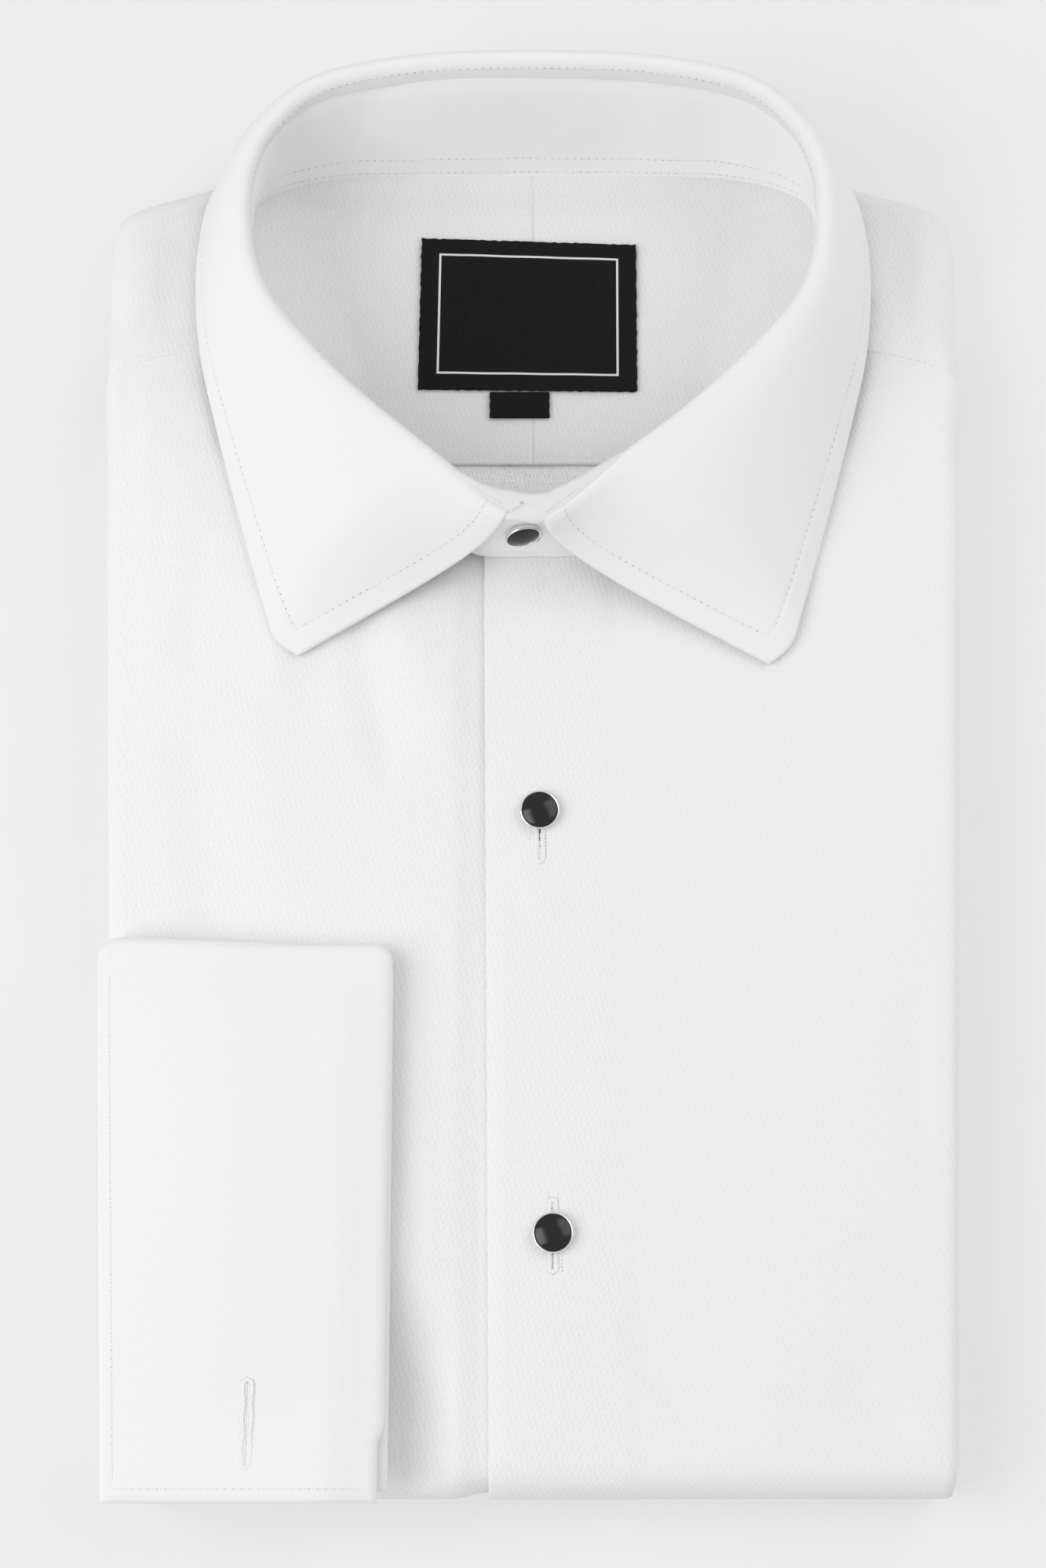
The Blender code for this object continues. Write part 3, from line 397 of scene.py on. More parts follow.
def reckon(tree, operation, *values, kind="ShaderNodeMath"):
    """The result of a math node for one to three values, or of another kind for vectors."""
    return add(tree, kind, dict(enumerate(values)), operation=operation).outputs[0]


def parted(tree, place):
    """The x and the y of a place."""
    return add(tree, "ShaderNodeSeparateXYZ", {0: place}).outputs[:2]


def remap(tree, value, low, high, to_low=0.0, to_high=1.0):
    """The straight line that takes low to to_low and high to to_high, clamped at both."""
    inputs = {0: value, 1: low, 2: high, 3: to_low, 4: to_high}
    return add(tree, "ShaderNodeMapRange", inputs).outputs[0]


def blend(tree, share, low, high):
    """The colour low where share is 0 and high where it is 1."""
    return add(tree, "ShaderNodeMix", {0: share, 6: low, 7: high}, data_type="RGBA").outputs[2]


def noise(tree, place, scale, detail):
    """A noise texture's node. Its pattern is about 1 / scale wide."""
    return add(tree, "ShaderNodeTexNoise", {"Vector": place, "Scale": scale, "Detail": detail})


def waves(tree, x, y, period_x, period_y):
    """A sine ridge across a direction: its phase grows by one turn per period along x and y."""
    phase = reckon(tree, "MULTIPLY", x, math.tau / period_x)
    if period_y:
        phase = reckon(tree, "MULTIPLY_ADD", y, math.tau / period_y, phase)
    return reckon(tree, "SINE", phase)


# %% [markdown]
# ## Shirt cotton
#
# The body is a bleached cotton with a small dobby weave: short raised slubs about 1.4 mm
# apart stand in slanting rows on plain threads. A picture of cloth would do, but it would
# stretch at folds, so the weave is worked out from the cloth's own UV in millimetres. Two
# sets of slanting sine ridges add up to a lattice of upright lozenges, a noise makes them as
# uneven as spun yarn, and fine threads run through them. The heights feed a bump and, very
# slightly, the colour, as a painted shade between threads, where light sinks. Collar and
# cuffs are the same cotton fused to an interlining and pressed, so their weave lies flatter
# and brighter.


# %% Shirt cotton
LEAN = 0.22                   # the slubs lean to the right: sideways millimetres for each one up
WANDER, WANDER_SCALE = (0.9, 1.3, 0.0), 0.35   # mm that the rows stray, and the noise's scale
# mm, and the plain threads' part in the height; real threads lie 0.2 mm apart and wouldn't show
THREAD_SPACING, THREAD_SHARE = 0.42, 0.25
LATTICE_SHARE, YARN_UNEVEN = 0.4, 0.6
YARN_SCALE, WEFT_SCALE = (2.1, 1.15, 1.0), (0.45, 2.4, 1.0)   # yarn along y, weft along x
CROSSED_HEIGHT = 3.0
# the hollow colour is a painted shade between the threads
HEIGHT_RANGE = (-1.1, 0.9)    # from the hollow colour to the colour on top
SINGLE_CLOTH = "#EDEDED"
DOUBLED_EDGE = (-1.5, 2.5)    # mm about the doubled cloth's end, where the colour changes


def stretched_noise(tree, place, scale, detail):
    """The value of a noise that is drawn out along one side of the cloth."""
    place = reckon(tree, "MULTIPLY", place, scale, kind="ShaderNodeVectorMath")
    return noise(tree, place, 1.0, detail).outputs["Fac"]


def leaning_place(tree, place):
    """x and y on the cloth after a slow wander, with x slanted by the slubs' lean."""
    drift = noise(tree, place, WANDER_SCALE, 2.0).outputs["Color"]
    vectors = "ShaderNodeVectorMath"
    centred = reckon(tree, "SUBTRACT", drift, (0.5, 0.5, 0.5), kind=vectors)
    x, y = parted(tree, reckon(tree, "MULTIPLY_ADD", centred, WANDER, place, kind=vectors))
    return reckon(tree, "MULTIPLY_ADD", y, -LEAN, x), y


def woven_cotton(name, colour, hollow, lozenge, relief, crossed=0.0, doubled=None,
                 beyond=SINGLE_CLOTH):
    """Cotton on the cloth UV in mm: lozenge spacing along x and y, relief in mm.

    crossed is how much the weft stands out. doubled (x, slope) gives the cloth past the
    line x + slope * v the colour beyond: darker as single cloth is, for light goes through it,
    or a painted shade, as on the stand's rolled ends.
    """
    made, tree, shader = blank(name)
    place = add(tree, "ShaderNodeUVMap", uv_map="cloth").outputs[0]
    x, y = leaning_place(tree, place)
    leaning = add(tree, "ShaderNodeCombineXYZ", {0: x, 1: y}).outputs[0]
    rise = waves(tree, x, y, lozenge[0], lozenge[1])
    fall = waves(tree, x, y, lozenge[0], -lozenge[1])
    lattice = reckon(tree, "ADD", rise, fall)
    yarn = stretched_noise(tree, leaning, YARN_SCALE, 1.0)
    uneven = remap(tree, yarn, 0.3, 0.7, -YARN_UNEVEN, YARN_UNEVEN)
    slub = reckon(tree, "MULTIPLY_ADD", lattice, LATTICE_SHARE, uneven)
    weft = stretched_noise(tree, place, WEFT_SCALE, 2.0)
    slub = reckon(tree, "MULTIPLY_ADD", weft, crossed * CROSSED_HEIGHT, slub)
    warp = waves(tree, x, y, THREAD_SPACING, 0.0)
    pick = waves(tree, y, x, THREAD_SPACING, 0.0)
    threads = reckon(tree, "MULTIPLY", warp, pick)
    height = reckon(tree, "MULTIPLY_ADD", threads, THREAD_SHARE, slub)
    tone = remap(tree, height, *HEIGHT_RANGE)
    shade = blend(tree, tone, linear(hollow), linear(colour))
    bump = add(tree, "ShaderNodeBump", {"Height": height, "Distance": relief * MM, "Strength": 1.0})
    if doubled:
        end_x, slope = doubled
        u, v = parted(tree, place)
        past = reckon(tree, "MULTIPLY_ADD", v, -slope, u)
        single = remap(tree, past, end_x + DOUBLED_EDGE[0], end_x + DOUBLED_EDGE[1])
        shade = blend(tree, single, shade, linear(beyond))
    tree.links.new(shade, shader.inputs["Base Color"])
    tree.links.new(bump.outputs[0], shader.inputs["Normal"])
    dress(shader, Roughness=0.82, Specular_IOR_Level=0.25, Sheen_Weight=0.12, Sheen_Roughness=0.45)
    return made


DOBBY_LOOK = ("#F0F0F0", "#E9E9E9", (1.45, 3.0), 0.032)
PRESSED_WEAVE = ((1.1, 2.2), 0.008)
FACING_SLOPE = (FACING_X[0] - FACING_X[1]) / (NECK_FRONT_Y - FOLD_Y)
LIP_U = 1000.0                # the rolled ends of the stand lie past this on its UV map
DOBBY = woven_cotton("bleached cotton, dobby woven", *DOBBY_LOOK)
FACED = woven_cotton("bleached cotton, dobby woven, doubled at the facing", *DOBBY_LOOK,
                     doubled=(FACING_X[1], FACING_SLOPE))
PRESSED = woven_cotton("bleached cotton, fused and pressed", "#EEEEEE", "#EBEBEB", *PRESSED_WEAVE)
# the stand is painted a little lighter, as painted light on its inside, and its rolled ends a
# little grey, as painted shade
STAND_COTTON = woven_cotton("bleached cotton, fused and pressed, the stand", "#F9F9F9", "#F6F6F6",
                            *PRESSED_WEAVE, doubled=(LIP_U - 100, 0), beyond="#E2E2E2")
# the reverse is painted darker than the face: painted shade for the inside of the neck and the
# folded layers
REVERSE = woven_cotton("bleached cotton, reverse of the weave, painted shade", "#E8E8E8", "#DFDFDF", (1.45, 3.0),
                       0.03, crossed=0.15)
# the back panel is painted lighter than the other cotton, as painted light where it shows inside
# the neck; its basket weave is real
BASKET = woven_cotton("bleached cotton, basket woven, painted light", "#FAFAFA", "#CCCCCC", (1.0, 2.0), 0.05,
                      crossed=0.55)
THREAD = woven_cotton("cotton sewing thread, twisted", "#F2F2F2", "#E6E6E6", (0.5, 0.6), 0.01)
HOLE, tree, shader = blank("shade inside a needle hole in cotton")
dress(shader, Base_Color=linear("#C8C8C8"), Roughness=1.0, Specular_IOR_Level=0.0)
print("cottons:", DOBBY.name, "|", PRESSED.name, "|", REVERSE.name)

# %% [markdown]
# ## Label taffeta, enamel and silver
#
# A woven label is shiny black taffeta: fine ribs lie across it, and its frame is woven in
# with white thread, so it is a colour in the weave and not a raised bar. Enamel is glass
# fired on metal: black below, a hard smooth coat on top, with lights as clear shapes in
# it. The setting is silver plate, polished by a wheel, so it keeps faint fine scratches.

# %% Taffeta, enamel and silver
LABEL_FRAME_IN, LABEL_FRAME_WIDE = (5.2, 4.6), 0.55   # mm in from the edge, and the line's width
LABEL_FRAME_SOFT = 0.06       # mm over which the line's edge fades
# real ribs lie 0.3 mm apart and wouldn't show; the relief is in metres
RIB_SPACING, PICK_SPACING, TAFFETA_RELIEF = 0.62, 0.5, 0.00003


def frame_line(tree, x, y):
    """1 on the woven frame, 0 off it: the greater of two distances from its sides is near 0."""
    gaps = []
    for value, (low, high), inside in zip((x, y), (LABEL_X, LABEL_Y), LABEL_FRAME_IN):
        side = reckon(tree, "ABSOLUTE", value)
        gaps.append(reckon(tree, "SUBTRACT", side, (high - low) / 2 - inside))
    off = reckon(tree, "ABSOLUTE", reckon(tree, "MAXIMUM", *gaps))
    return remap(tree, off, LABEL_FRAME_WIDE / 2 + LABEL_FRAME_SOFT,
                 LABEL_FRAME_WIDE / 2 - LABEL_FRAME_SOFT)


def woven_taffeta(name, framed):
    """Black taffeta: fine ribs across the UV. With framed, a white line in from the edge."""
    made, tree, shader = blank(name)
    place = add(tree, "ShaderNodeUVMap", uv_map="cloth").outputs[0]
    x, y = parted(tree, place)
    ribs, picks = waves(tree, y, x, RIB_SPACING, 0.0), waves(tree, x, y, PICK_SPACING, 0.0)
    grain = noise(tree, place, 2.2, 3.0)
    weave = reckon(tree, "MULTIPLY", ribs, picks)
    height = reckon(tree, "MULTIPLY_ADD", grain.outputs["Fac"], 1.6, weave)
    tone = remap(tree, height, 0.0, 1.8)
    ground = blend(tree, tone, linear("#060606"), linear("#181818"))
    if framed:
        ground = blend(tree, frame_line(tree, x, y), ground, linear("#DADADA"))
    bump = add(tree, "ShaderNodeBump",
               {"Height": height, "Distance": TAFFETA_RELIEF, "Strength": 0.7})
    tree.links.new(ground, shader.inputs["Base Color"])
    tree.links.new(bump.outputs[0], shader.inputs["Normal"])
    dress(shader, Roughness=0.55, Specular_IOR_Level=0.14)
    return made


LABEL_TAFFETA = woven_taffeta("black taffeta, woven with a frame", True)
TAB_TAFFETA = woven_taffeta("black taffeta, woven", False)

ENAMEL, tree, shader = blank("black enamel, fired and polished")
waviness = add(tree, "ShaderNodeTexNoise", {"Scale": 260.0, "Detail": 1.0})
bump = add(tree, "ShaderNodeBump",
           {"Height": waviness.outputs["Fac"], "Distance": 0.00002, "Strength": 0.25})
tree.links.new(bump.outputs[0], shader.inputs["Normal"])
dress(shader, Base_Color=linear("#060606"), Roughness=0.05, IOR=1.54)

SILVER, tree, shader = blank("silver plate, wheel polished")
scratches = noise(tree, add(tree, "ShaderNodeTexCoord").outputs["Object"], 900.0, 2.0)
gloss = remap(tree, scratches.outputs["Fac"], 0.3, 0.7, 0.14, 0.3)
tree.links.new(gloss, shader.inputs["Roughness"])
dress(shader, Base_Color=linear("#EDEDED"), Metallic=1.0)
print("metals and glass:", SILVER.name, "|", ENAMEL.name)

# %% [markdown]
# ## Camera, floor and light
#
# The shirt lies on pale seamless paper and the camera looks down on it, 15 degrees off
# upright. White on white only shows by its shades, so the light decides the picture: a
# large soft box on the left and a weaker one on the right, both half way up. The two and
# an even sky leave soft shadows to the right and draw the bright patches that a polished
# stud shows. The paper glows a little, so that it stays paler than the shadows on it.

# %% Camera, floor and light
FOCAL_PX, FRAME_PX, SENSOR = 3750.0, 1999, 36.0   # focal length and frame height in pixels, and mm
CAMERA_PLACE = (-0.0027, -0.19411 - REST_CENTRE_Y * MM, 0.74444)
CAMERA_TILT = 15
scene = bpy.context.scene
lens = bpy.data.cameras.new("camera")
lens.sensor_width, lens.lens, lens.clip_start = SENSOR, FOCAL_PX * SENSOR / FRAME_PX, 0.01
camera = scene.camera = placed("camera", lens)
camera.location = CAMERA_PLACE
camera.rotation_euler = (math.radians(CAMERA_TILT), 0, 0)
scene.view_settings.view_transform = "Standard"

PAPER, tree, shader = blank("pale seamless paper, matt")
fibres = noise(tree, add(tree, "ShaderNodeTexCoord").outputs["Object"], 40.0, 4.0)
tint = blend(tree, fibres.outputs["Fac"], linear("#A9A9A9"), linear("#ADADAD"))
tree.links.new(tint, shader.inputs["Base Color"])
dress(shader, Roughness=0.95, Specular_IOR_Level=0.1,
      Emission_Color=linear("#FFFFFF"), Emission_Strength=0.44)

FLOOR_HALF = 3.0              # metres
floor_mesh = bpy.data.meshes.new("floor")
corners = [(FLOOR_HALF * x, FLOOR_HALF * y, 0.0) for x, y in ((-1, -1), (1, -1), (1, 1), (-1, 1))]
floor_mesh.from_pydata(corners, [], [(0, 1, 2, 3)])
floor_mesh.materials.append(PAPER)
placed("floor", floor_mesh)

# each light's azimuth and zenith in degrees, distance and two sides in metres, and brightness
LIGHTS = (
    ("softbox_left", 197, 46, 1.0, 0.72, 0.8, 2.5),
    ("softbox_right", 26, 46, 1.0, 0.72, 0.9, 1.25),
)
for name, azimuth, zenith, distance, deep, wide, brightness in LIGHTS:
    light = bpy.data.lights.new(name, "AREA")
    light.shape, light.size, light.size_y = "RECTANGLE", deep, wide
    light.energy = brightness * math.pi * deep * wide
    a, e = math.radians(azimuth), math.radians(zenith)
    toward = np.array([math.sin(e) * math.cos(a), math.sin(e) * math.sin(a), math.cos(e)])
    holder = placed(name, light)
    holder.location = toward * distance
    holder.rotation_euler = (0, e, a)
scene.world = bpy.data.worlds.new("sky")
scene.world.use_nodes = True
dress(scene.world.node_tree.nodes["Background"], Color=linear("#FFFFFF"), Strength=0.6)
print("camera at", [round(v, 3) for v in camera.location])

# %% [markdown]
# ## Creases
#
# Pressed cloth is never quite flat. A crease is a soft trough or ridge along a line, as
# deep as a fraction of a millimetre, and it fades at its ends. The table lists them one by
# one, uneven in length, depth and spacing. A slow sway of four crossed waves lies under
# them, because even the smooth parts lift and settle a little.

# %% Creases
# from (x0, y0) to (x1, y1), half width and height in mm, below 0 for a trough
CREASES = table(
    "x0 y0 x1 y1 width height",
    (-45, 40, -37.5, 12, 5.5, -0.8), (-33, 36.5, -23.5, 16, 9, 0.75),
    (-56, 34, -57, 18, 6, -0.35), (-70, 48, -66, 30, 4.5, 0.5),
    (-86.5, 62, -87, 34, 4, -0.4), (-85, 4, -80, -34, 8, -0.6),
    (-100, 86, -96, 52, 5, -0.25), (-108, 104, -104, 44, 27, 0.75),
    (-38, 7, -36.5, 1, 2.6, -0.25), (-83, 113, -79, 94, 4, -0.6),
    (38, 5, 62, -24, 9, -0.22), (70, 60, 92, 36, 8, 0.25),
    (52, 22, 60, 2, 7, 0.2), (98, 84, 103, 50, 5, -0.25),
    (79, -152, 88, -164, 7, -0.6), (30, -140, 44, -166, 8, -0.4),
    (4, 52, 22, 44, 5, -0.35), (96, -60, 101, -110, 6, -0.2),
    (-28, -70, -26, -130, 4, 0.25), (-3, -22, 3.5, -34, 3.5, 0.25),
    (86, 132, 83.5, 121, 3.2, -0.7), (85, 116, 79.5, 96, 3.6, -0.8),
    (-95, 150, -99, 128, 5, -0.35), (98, 148, 101, 126, 5.5, -0.4),
)
CREASE_DEPTH = 1.8            # a factor for all of them


def creases(x, y):
    """Sum over the table of height times exp(-(distance / width) squared), and the slow sway.

    The sway is two pairs of crossed waves, 0.22 and 0.07 mm high.
    """
    total = (
        np.sin(0.061 * x + 0.037 * y + 0.4) * np.sin(0.043 * y - 0.02 * x + 1.1) * 0.22
        + np.sin(0.11 * x - 0.083 * y + 2.0) * np.sin(0.091 * y + 0.05 * x) * 0.07
    )
    for x0, y0, x1, y1, width, height in zip(*CREASES.values()):
        along = ((x - x0) * (x1 - x0) + (y - y0) * (y1 - y0)) / ((x1 - x0) ** 2 + (y1 - y0) ** 2)
        along = np.clip(along, 0, 1)
        away = (x - x0 - along * (x1 - x0)) ** 2 + (y - y0 - along * (y1 - y0)) ** 2
        total = total + CREASE_DEPTH * height * np.exp(-away / width**2)
    return total


print("creases:", len(CREASES["x0"]))

# %% [markdown]
# ## The fronts
#
# Each front is one panel of cotton. It starts at the yoke seam, lies over the pack, turns
# round the bottom fold and runs back beneath to its hem. Along its side it rolls round and
# goes back inside. The wearer's left front lies over the right one: its edge is folded
# in, so it is doubled as far as the facing's edge. The shape is one function of a place
# along the cloth and a place across it. A depth below the outer face gives the back.


# %% The path of a front round the bottom fold
def on_fold_path(run):
    """y, z, the outward normal's y and z and the turn, 0 on top to 1 beneath.

    run is the distance from the start of the bottom fold: above 0 the cloth lies on the
    chest, then it goes half round a circle, and beyond that it lies flat on the table.
    """
    turn = np.clip(-run / FOLD_RADIUS, 0, math.pi)
    beyond = np.maximum(-run - math.pi * FOLD_RADIUS, 0)
    y = FOLD_Y - FOLD_RADIUS * np.sin(turn) + np.maximum(run, 0) + beyond
    z = FOLD_RADIUS + FOLD_RADIUS * np.cos(turn)
    z = np.where(run > 0, side_height(y), z)
    return y, z, -np.sin(turn), np.cos(turn), turn / math.pi


def cuff_hollow(x, y):
    """How far the right half is pressed down beside the cuff's lower corner."""
    return CUFF_HOLLOW * ease(-120, -156, y) * ease(17, 32, x) * ease(70, 50, x)


def roll_radius(y, under):
    """Radius of the side folds: half the height of the layers that they wrap."""
    upper = (side_height(y) - CREVICE_TOP) / 2
    return upper + (TAIL_ROLL - upper) * under


# each buttonhole runs from its upper to its lower end
SLOTS = [(y - above + SLOT_LENGTH / 2, y - above - SLOT_LENGTH / 2) for _, y, above in FRONT_STUDS]
SLOT_STEPS = 15


def slot_half(y, over):
    """Half the opening of a buttonhole: room for the stud's shank, almost shut elsewhere.

    Each stud adds a bell curve about its own y. Below the upper stud the over-lap gapes.
    """
    half = 0.04 + 0 * y
    for _, stud_y, _ in FRONT_STUDS:
        half = half + 0.9 * np.exp(-((y - stud_y) / 2.0) ** 2)
    return half + (0.3 * np.exp(-((y - FRONT_STUDS[0][1] + 6.5) / 2.6) ** 2) if over else 0)


# %% Rows and columns of a front
def front_rows(neck_y, rim):
    """Distances from the start of the bottom fold, with rows at the neck and along the slots."""
    top = stations(FRONT_SEAM_Y[0], FOLD_Y + 2, 2.1, rim)[:-3]
    special = [neck_y + 1.5, neck_y] + [p for pair in SLOTS for p in np.linspace(*pair, SLOT_STEPS)]
    keep = np.abs(top[:, None] - np.array(special)).min(1) > 0.5
    top = -np.sort(-np.concatenate([top[keep], special]))
    bend = -FOLD_RADIUS * np.radians(np.arange(0, 181, 6))
    under = -math.pi * FOLD_RADIUS - stations(0, HEM_Y - FOLD_Y, 4.5, rim)[4:]
    return np.concatenate([top - FOLD_Y, bend, under])


def front_columns(over, y, on_top, outer, rim):
    """Places from the front edge to the side fold, and the column that the slots are cut in."""
    slot = np.interp(y, *zip(*sorted((s[1], s[0]) for s in FRONT_STUDS)))
    half = slot_half(y, over) * on_top + 0.02
    lip = half + 0.15
    placket, facing = between(PLACKET_X, y), between(FACING_X, y)
    if over:
        ends = (placket, placket + rim, slot - lip, slot - half, slot + half, slot + lip,
                facing - 1.0, facing + 4.0, outer)
        counts = (4, 7, 1, 1, 1, 9, 6, 43)
    else:
        ends = (1.0 - facing, 1.0 - facing + rim, -slot - lip, -slot - half, -slot + half,
                -slot + lip, -0.4 - placket, 2.5 - placket, 18.0 - placket, outer)
        counts = (4, 8, 1, 1, 1, 5, 7, 12, 40)
    return segments(ends, counts), sum(counts[:3])


# %% The two fronts
FOLD_PRESS = 0.72             # 1 would be half a circle, 0 a square edge
CORNER_SHARE = 0.12           # 1 would be round corners


def squarer(part):
    """What pressing by hand adds to a sine or cosine of the fold's turn."""
    return np.sign(part) * (np.abs(part) ** FOLD_PRESS - np.abs(part))


def front(side, name):
    """A front panel: +1 is the over-lap on the wearer's left, -1 the under-lap."""
    over = side > 0
    rim = FRONT_CLOTH / 2
    neck_y = NECK_FRONT_Y + 1.0 + (0 if over else UNDERLAP_STEP)
    run = front_rows(neck_y, rim)
    y, z, normal_y, normal_z, turn = (v[:, None] for v in on_fold_path(run))
    on_top = turn == 0
    edge = half_width(y) - TAIL_INSET * turn
    radius = roll_radius(y, turn)
    outer = edge - radius
    placket, facing = between(PLACKET_X, y), between(FACING_X, y)
    flat, slot_column = front_columns(over, y, on_top, outer, rim)
    # above the centre front the panel starts at the collar seam instead of at its front edge
    share = (flat - flat[:, :1]) / (outer - flat[:, :1])
    neck = seam_half(y)
    flat = np.where(on_top & (y > neck_y + 0.1), neck + share * (outer - neck), flat)
    start = flat[:, :1]
    level = np.clip((y - 86) / (FRONT_SEAM_Y[0] - 86), 0, 1) * on_top
    angle = np.radians(np.arange(10, 181, 10))[None]
    rolled = flat.shape[1]
    press = 1 - (1 - FOLD_PRESS) * ease(96, 70, y) * (1.0 if over else ease(-40, -20, y))

    # distances along the cloth, and how round its rims are there
    inmost = outer + radius * math.pi + SIDE_RETURN
    across = np.concatenate([flat, outer + radius * angle, inmost], axis=1)
    from_rim = np.minimum(across - start, across[:, -1:] - across)
    full = roundness(np.minimum(from_rim, (run - run[-1])[:, None]), rim)
    sway = creases(side * across, y) * on_top * ease(0, 9, run)[:, None]
    sway[:, rolled:] = 0
    sway *= ease(0, 7, outer - np.minimum(across, outer))

    def surface(inset):
        """The panel's face at a depth of inset below its outermost face."""
        roll = radius - inset[:, rolled:-1]
        sideways = np.abs(np.sin(angle)) ** press
        upright = np.sign(np.cos(angle)) * np.abs(np.cos(angle)) ** press
        x = np.concatenate([flat, outer + roll * sideways, outer - SIDE_RETURN], axis=1)
        depth = np.concatenate(
            [inset[:, :rolled], radius - roll * upright, 2 * radius - inset[:, -1:]], axis=1)
        place_y = y + (front_seam(np.minimum(x, edge)) - FRONT_SEAM_Y[0]) * level
        if over:
            lift = FACING_EXTRA * ease(facing + 4.0, facing - 1.0, x)
            lift = lift - EDGE_PRESS * ease(placket + 3.2, placket, x) * ease(15, -70, y)
            lift = lift * (1 - turn)
        else:
            lift = -LAP * ease(9.0 - placket, 0.5 - placket, x)
        chest = side_height(place_y)
        crown = (chest_height(x, place_y) - chest) * np.clip(1 - 4 * turn, 0, 1)
        crown[:, rolled:] = 0
        lift = lift + crown + sway
        height = np.where(on_top, chest, z)
        if not over:
            height = height - cuff_hollow(x, y) * ease(0.42, 0.03, turn)
        # pressed by hand: the fold is squarer than half a circle, and so are its corners
        sharper = FOLD_RADIUS * (1 - depth / FOLD_RADIUS).clip(0, 1)
        bent = (turn > 0) & (turn < 1)
        place_y = place_y + sharper * squarer(normal_y) - normal_y * (CORNER_SHARE * depth - lift)
        height = height + bent * sharper * squarer(normal_z) - normal_z * (depth - lift)
        return np.stack([side * x, place_y, height], -1)

    face = surface(rim * (1 - full))
    back = surface(rim * (1 + full))
    keep = np.ones((len(run) - 1, across.shape[1] - 1), bool)
    for upper, lower in SLOTS:
        inside = (y[1:, 0] >= lower - 0.01) & (y[:-1, 0] <= upper + 0.01) & on_top[1:, 0]
        keep[inside, slot_column] = False
    uv = np.stack([side * across, run[:, None] + 0 * across], -1)
    piece = cloth_piece(name + "_cloth", face, back, uv, FACED if over else DOBBY, keep)
    settle(piece, name, (face + back) / 2)


front(1, "front_left")
front(-1, "front_right")

# %% [markdown]
# ## The yokes
#
# The yoke is double: the outer one covers the shoulders from the collar seam to the fold,
# and the inner one is the smooth cloth at the back of the neck. Both are cut in two
# halves, which meet at a seam in the middle of the back. The outer half is swept along
# the shoulder line, flat at first and then round the fold. The inner half is a ruled
# surface that stays low in the middle and climbs to the collar seam at its side.


# %% The outer yokes
def shoulder_lines(at):
    """The yoke's neck line, the outline and its plan normal, and the roll's radius and foot.

    The normals are averaged along the line, so that the fold stays whole round the corner.
    """
    neck, edge = curve(SHOULDER, "neck_x neck_y", at), curve(SHOULDER, "edge_x edge_y", at)
    along = np.gradient(edge, axis=0)
    normal = unit(np.stack([along[:, 1], -along[:, 0]], -1))
    reach = max(1, len(at) // 14)
    padded = np.pad(normal, ((reach, reach), (0, 0)), mode="edge")
    normal = unit(sum(padded[k: k + len(at)] for k in range(2 * reach + 1)))
    normal[-1] = (0, 1)
    bottom = CREVICE_TOP * ease(130, 112, edge[:, 1])
    radius = 5.0 + 0 * bottom
    for _ in range(6):
        begin = edge - normal * radius[:, None]
        radius = (chest_height(begin[:, 0], begin[:, 1]) - bottom) / 2
    return neck, edge, normal, radius, bottom


def yoke_outer(side, name):
    """Half of the outer yoke: rows along the shoulder, columns from the collar over the fold."""
    rim = YOKE_CLOTH / 2
    last = len(SHOULDER["edge_x"]) - 1
    at = np.concatenate([[0, 0.01], np.linspace(0.03, 0.35, 8)[:-1], np.linspace(0.35, last, 86)])
    neck, edge, normal, radius, bottom = shoulder_lines(at)
    begin = edge - normal * radius[:, None]
    flat_part = 26
    share = np.linspace(0, 1, flat_part)
    neck = neck + normal * 0.05
    flat = neck[:, None] + share[None, :, None] * (begin - neck)[:, None]
    angle = np.radians(np.arange(9, 181, 9))
    at_seam = ease(3.16, 0, at)[:, None]
    wide = np.linalg.norm(begin - neck, axis=-1)[:, None]
    across = np.concatenate([wide * share, wide + radius[:, None] * angle,
                             wide + radius[:, None] * math.pi + SIDE_RETURN], axis=1)
    run = travelled(edge)[:, None]
    full = roundness(np.minimum(across[:, -1:] - across, run[-1] - run) + 0.05, rim)

    def surface(inset):
        """The yoke's face at a depth of inset below its outermost face."""
        rolled = radius[:, None] - inset[:, flat_part:-1]
        roll = begin[:, None] + normal[:, None] * (rolled * np.sin(angle))[..., None]
        inward = (begin - normal * SIDE_RETURN)[:, None]
        plan = np.concatenate([flat, roll, inward], axis=1)
        x, y = plan[..., 0], plan[..., 1]
        y = y + at_seam * (front_seam(x[0]) - 0.25 - y[0])
        middle = (bottom + radius)[:, None]
        roll_z = middle + rolled * np.cos(angle)
        flat_z = chest_height(flat[..., 0], y[:, :flat_part]) - inset[:, :flat_part]
        top = middle + radius[:, None] - inset[:, flat_part - 1: flat_part]
        flat_z = flat_z + (top - flat_z[:, -1:]) * ease(0.8, 1.0, share)[None]
        low = middle - radius[:, None] + inset[:, -1:]
        z = np.concatenate([flat_z, roll_z, low], axis=1)
        crease = creases(side * x, y)[:, :flat_part] * ease(1, 0.8, share) * ease(0, 0.12, share)
        past = (y - front_seam(x))[:, :flat_part]
        ridge = SEAM_RIDGE * np.exp(-((past - 1.5) / 1.1) ** 2) * ease(0.97, 0.8, share)
        z[:, :flat_part] += crease + ridge
        return np.stack([side * np.maximum(x, 0.2), y, z], axis=-1)

    face, back = surface(rim * (1 - full)), surface(rim * (1 + full))
    uv = np.stack([side * (face[:, :1, 0] * side + across), face[..., 1]], -1)
    piece = cloth_piece(name + "_cloth", face, back, uv, DOBBY)
    settle(piece, name, (face + back) / 2)
    return face


YOKE_LEFT, YOKE_RIGHT = yoke_outer(1, "yoke_outer_left"), yoke_outer(-1, "yoke_outer_right")


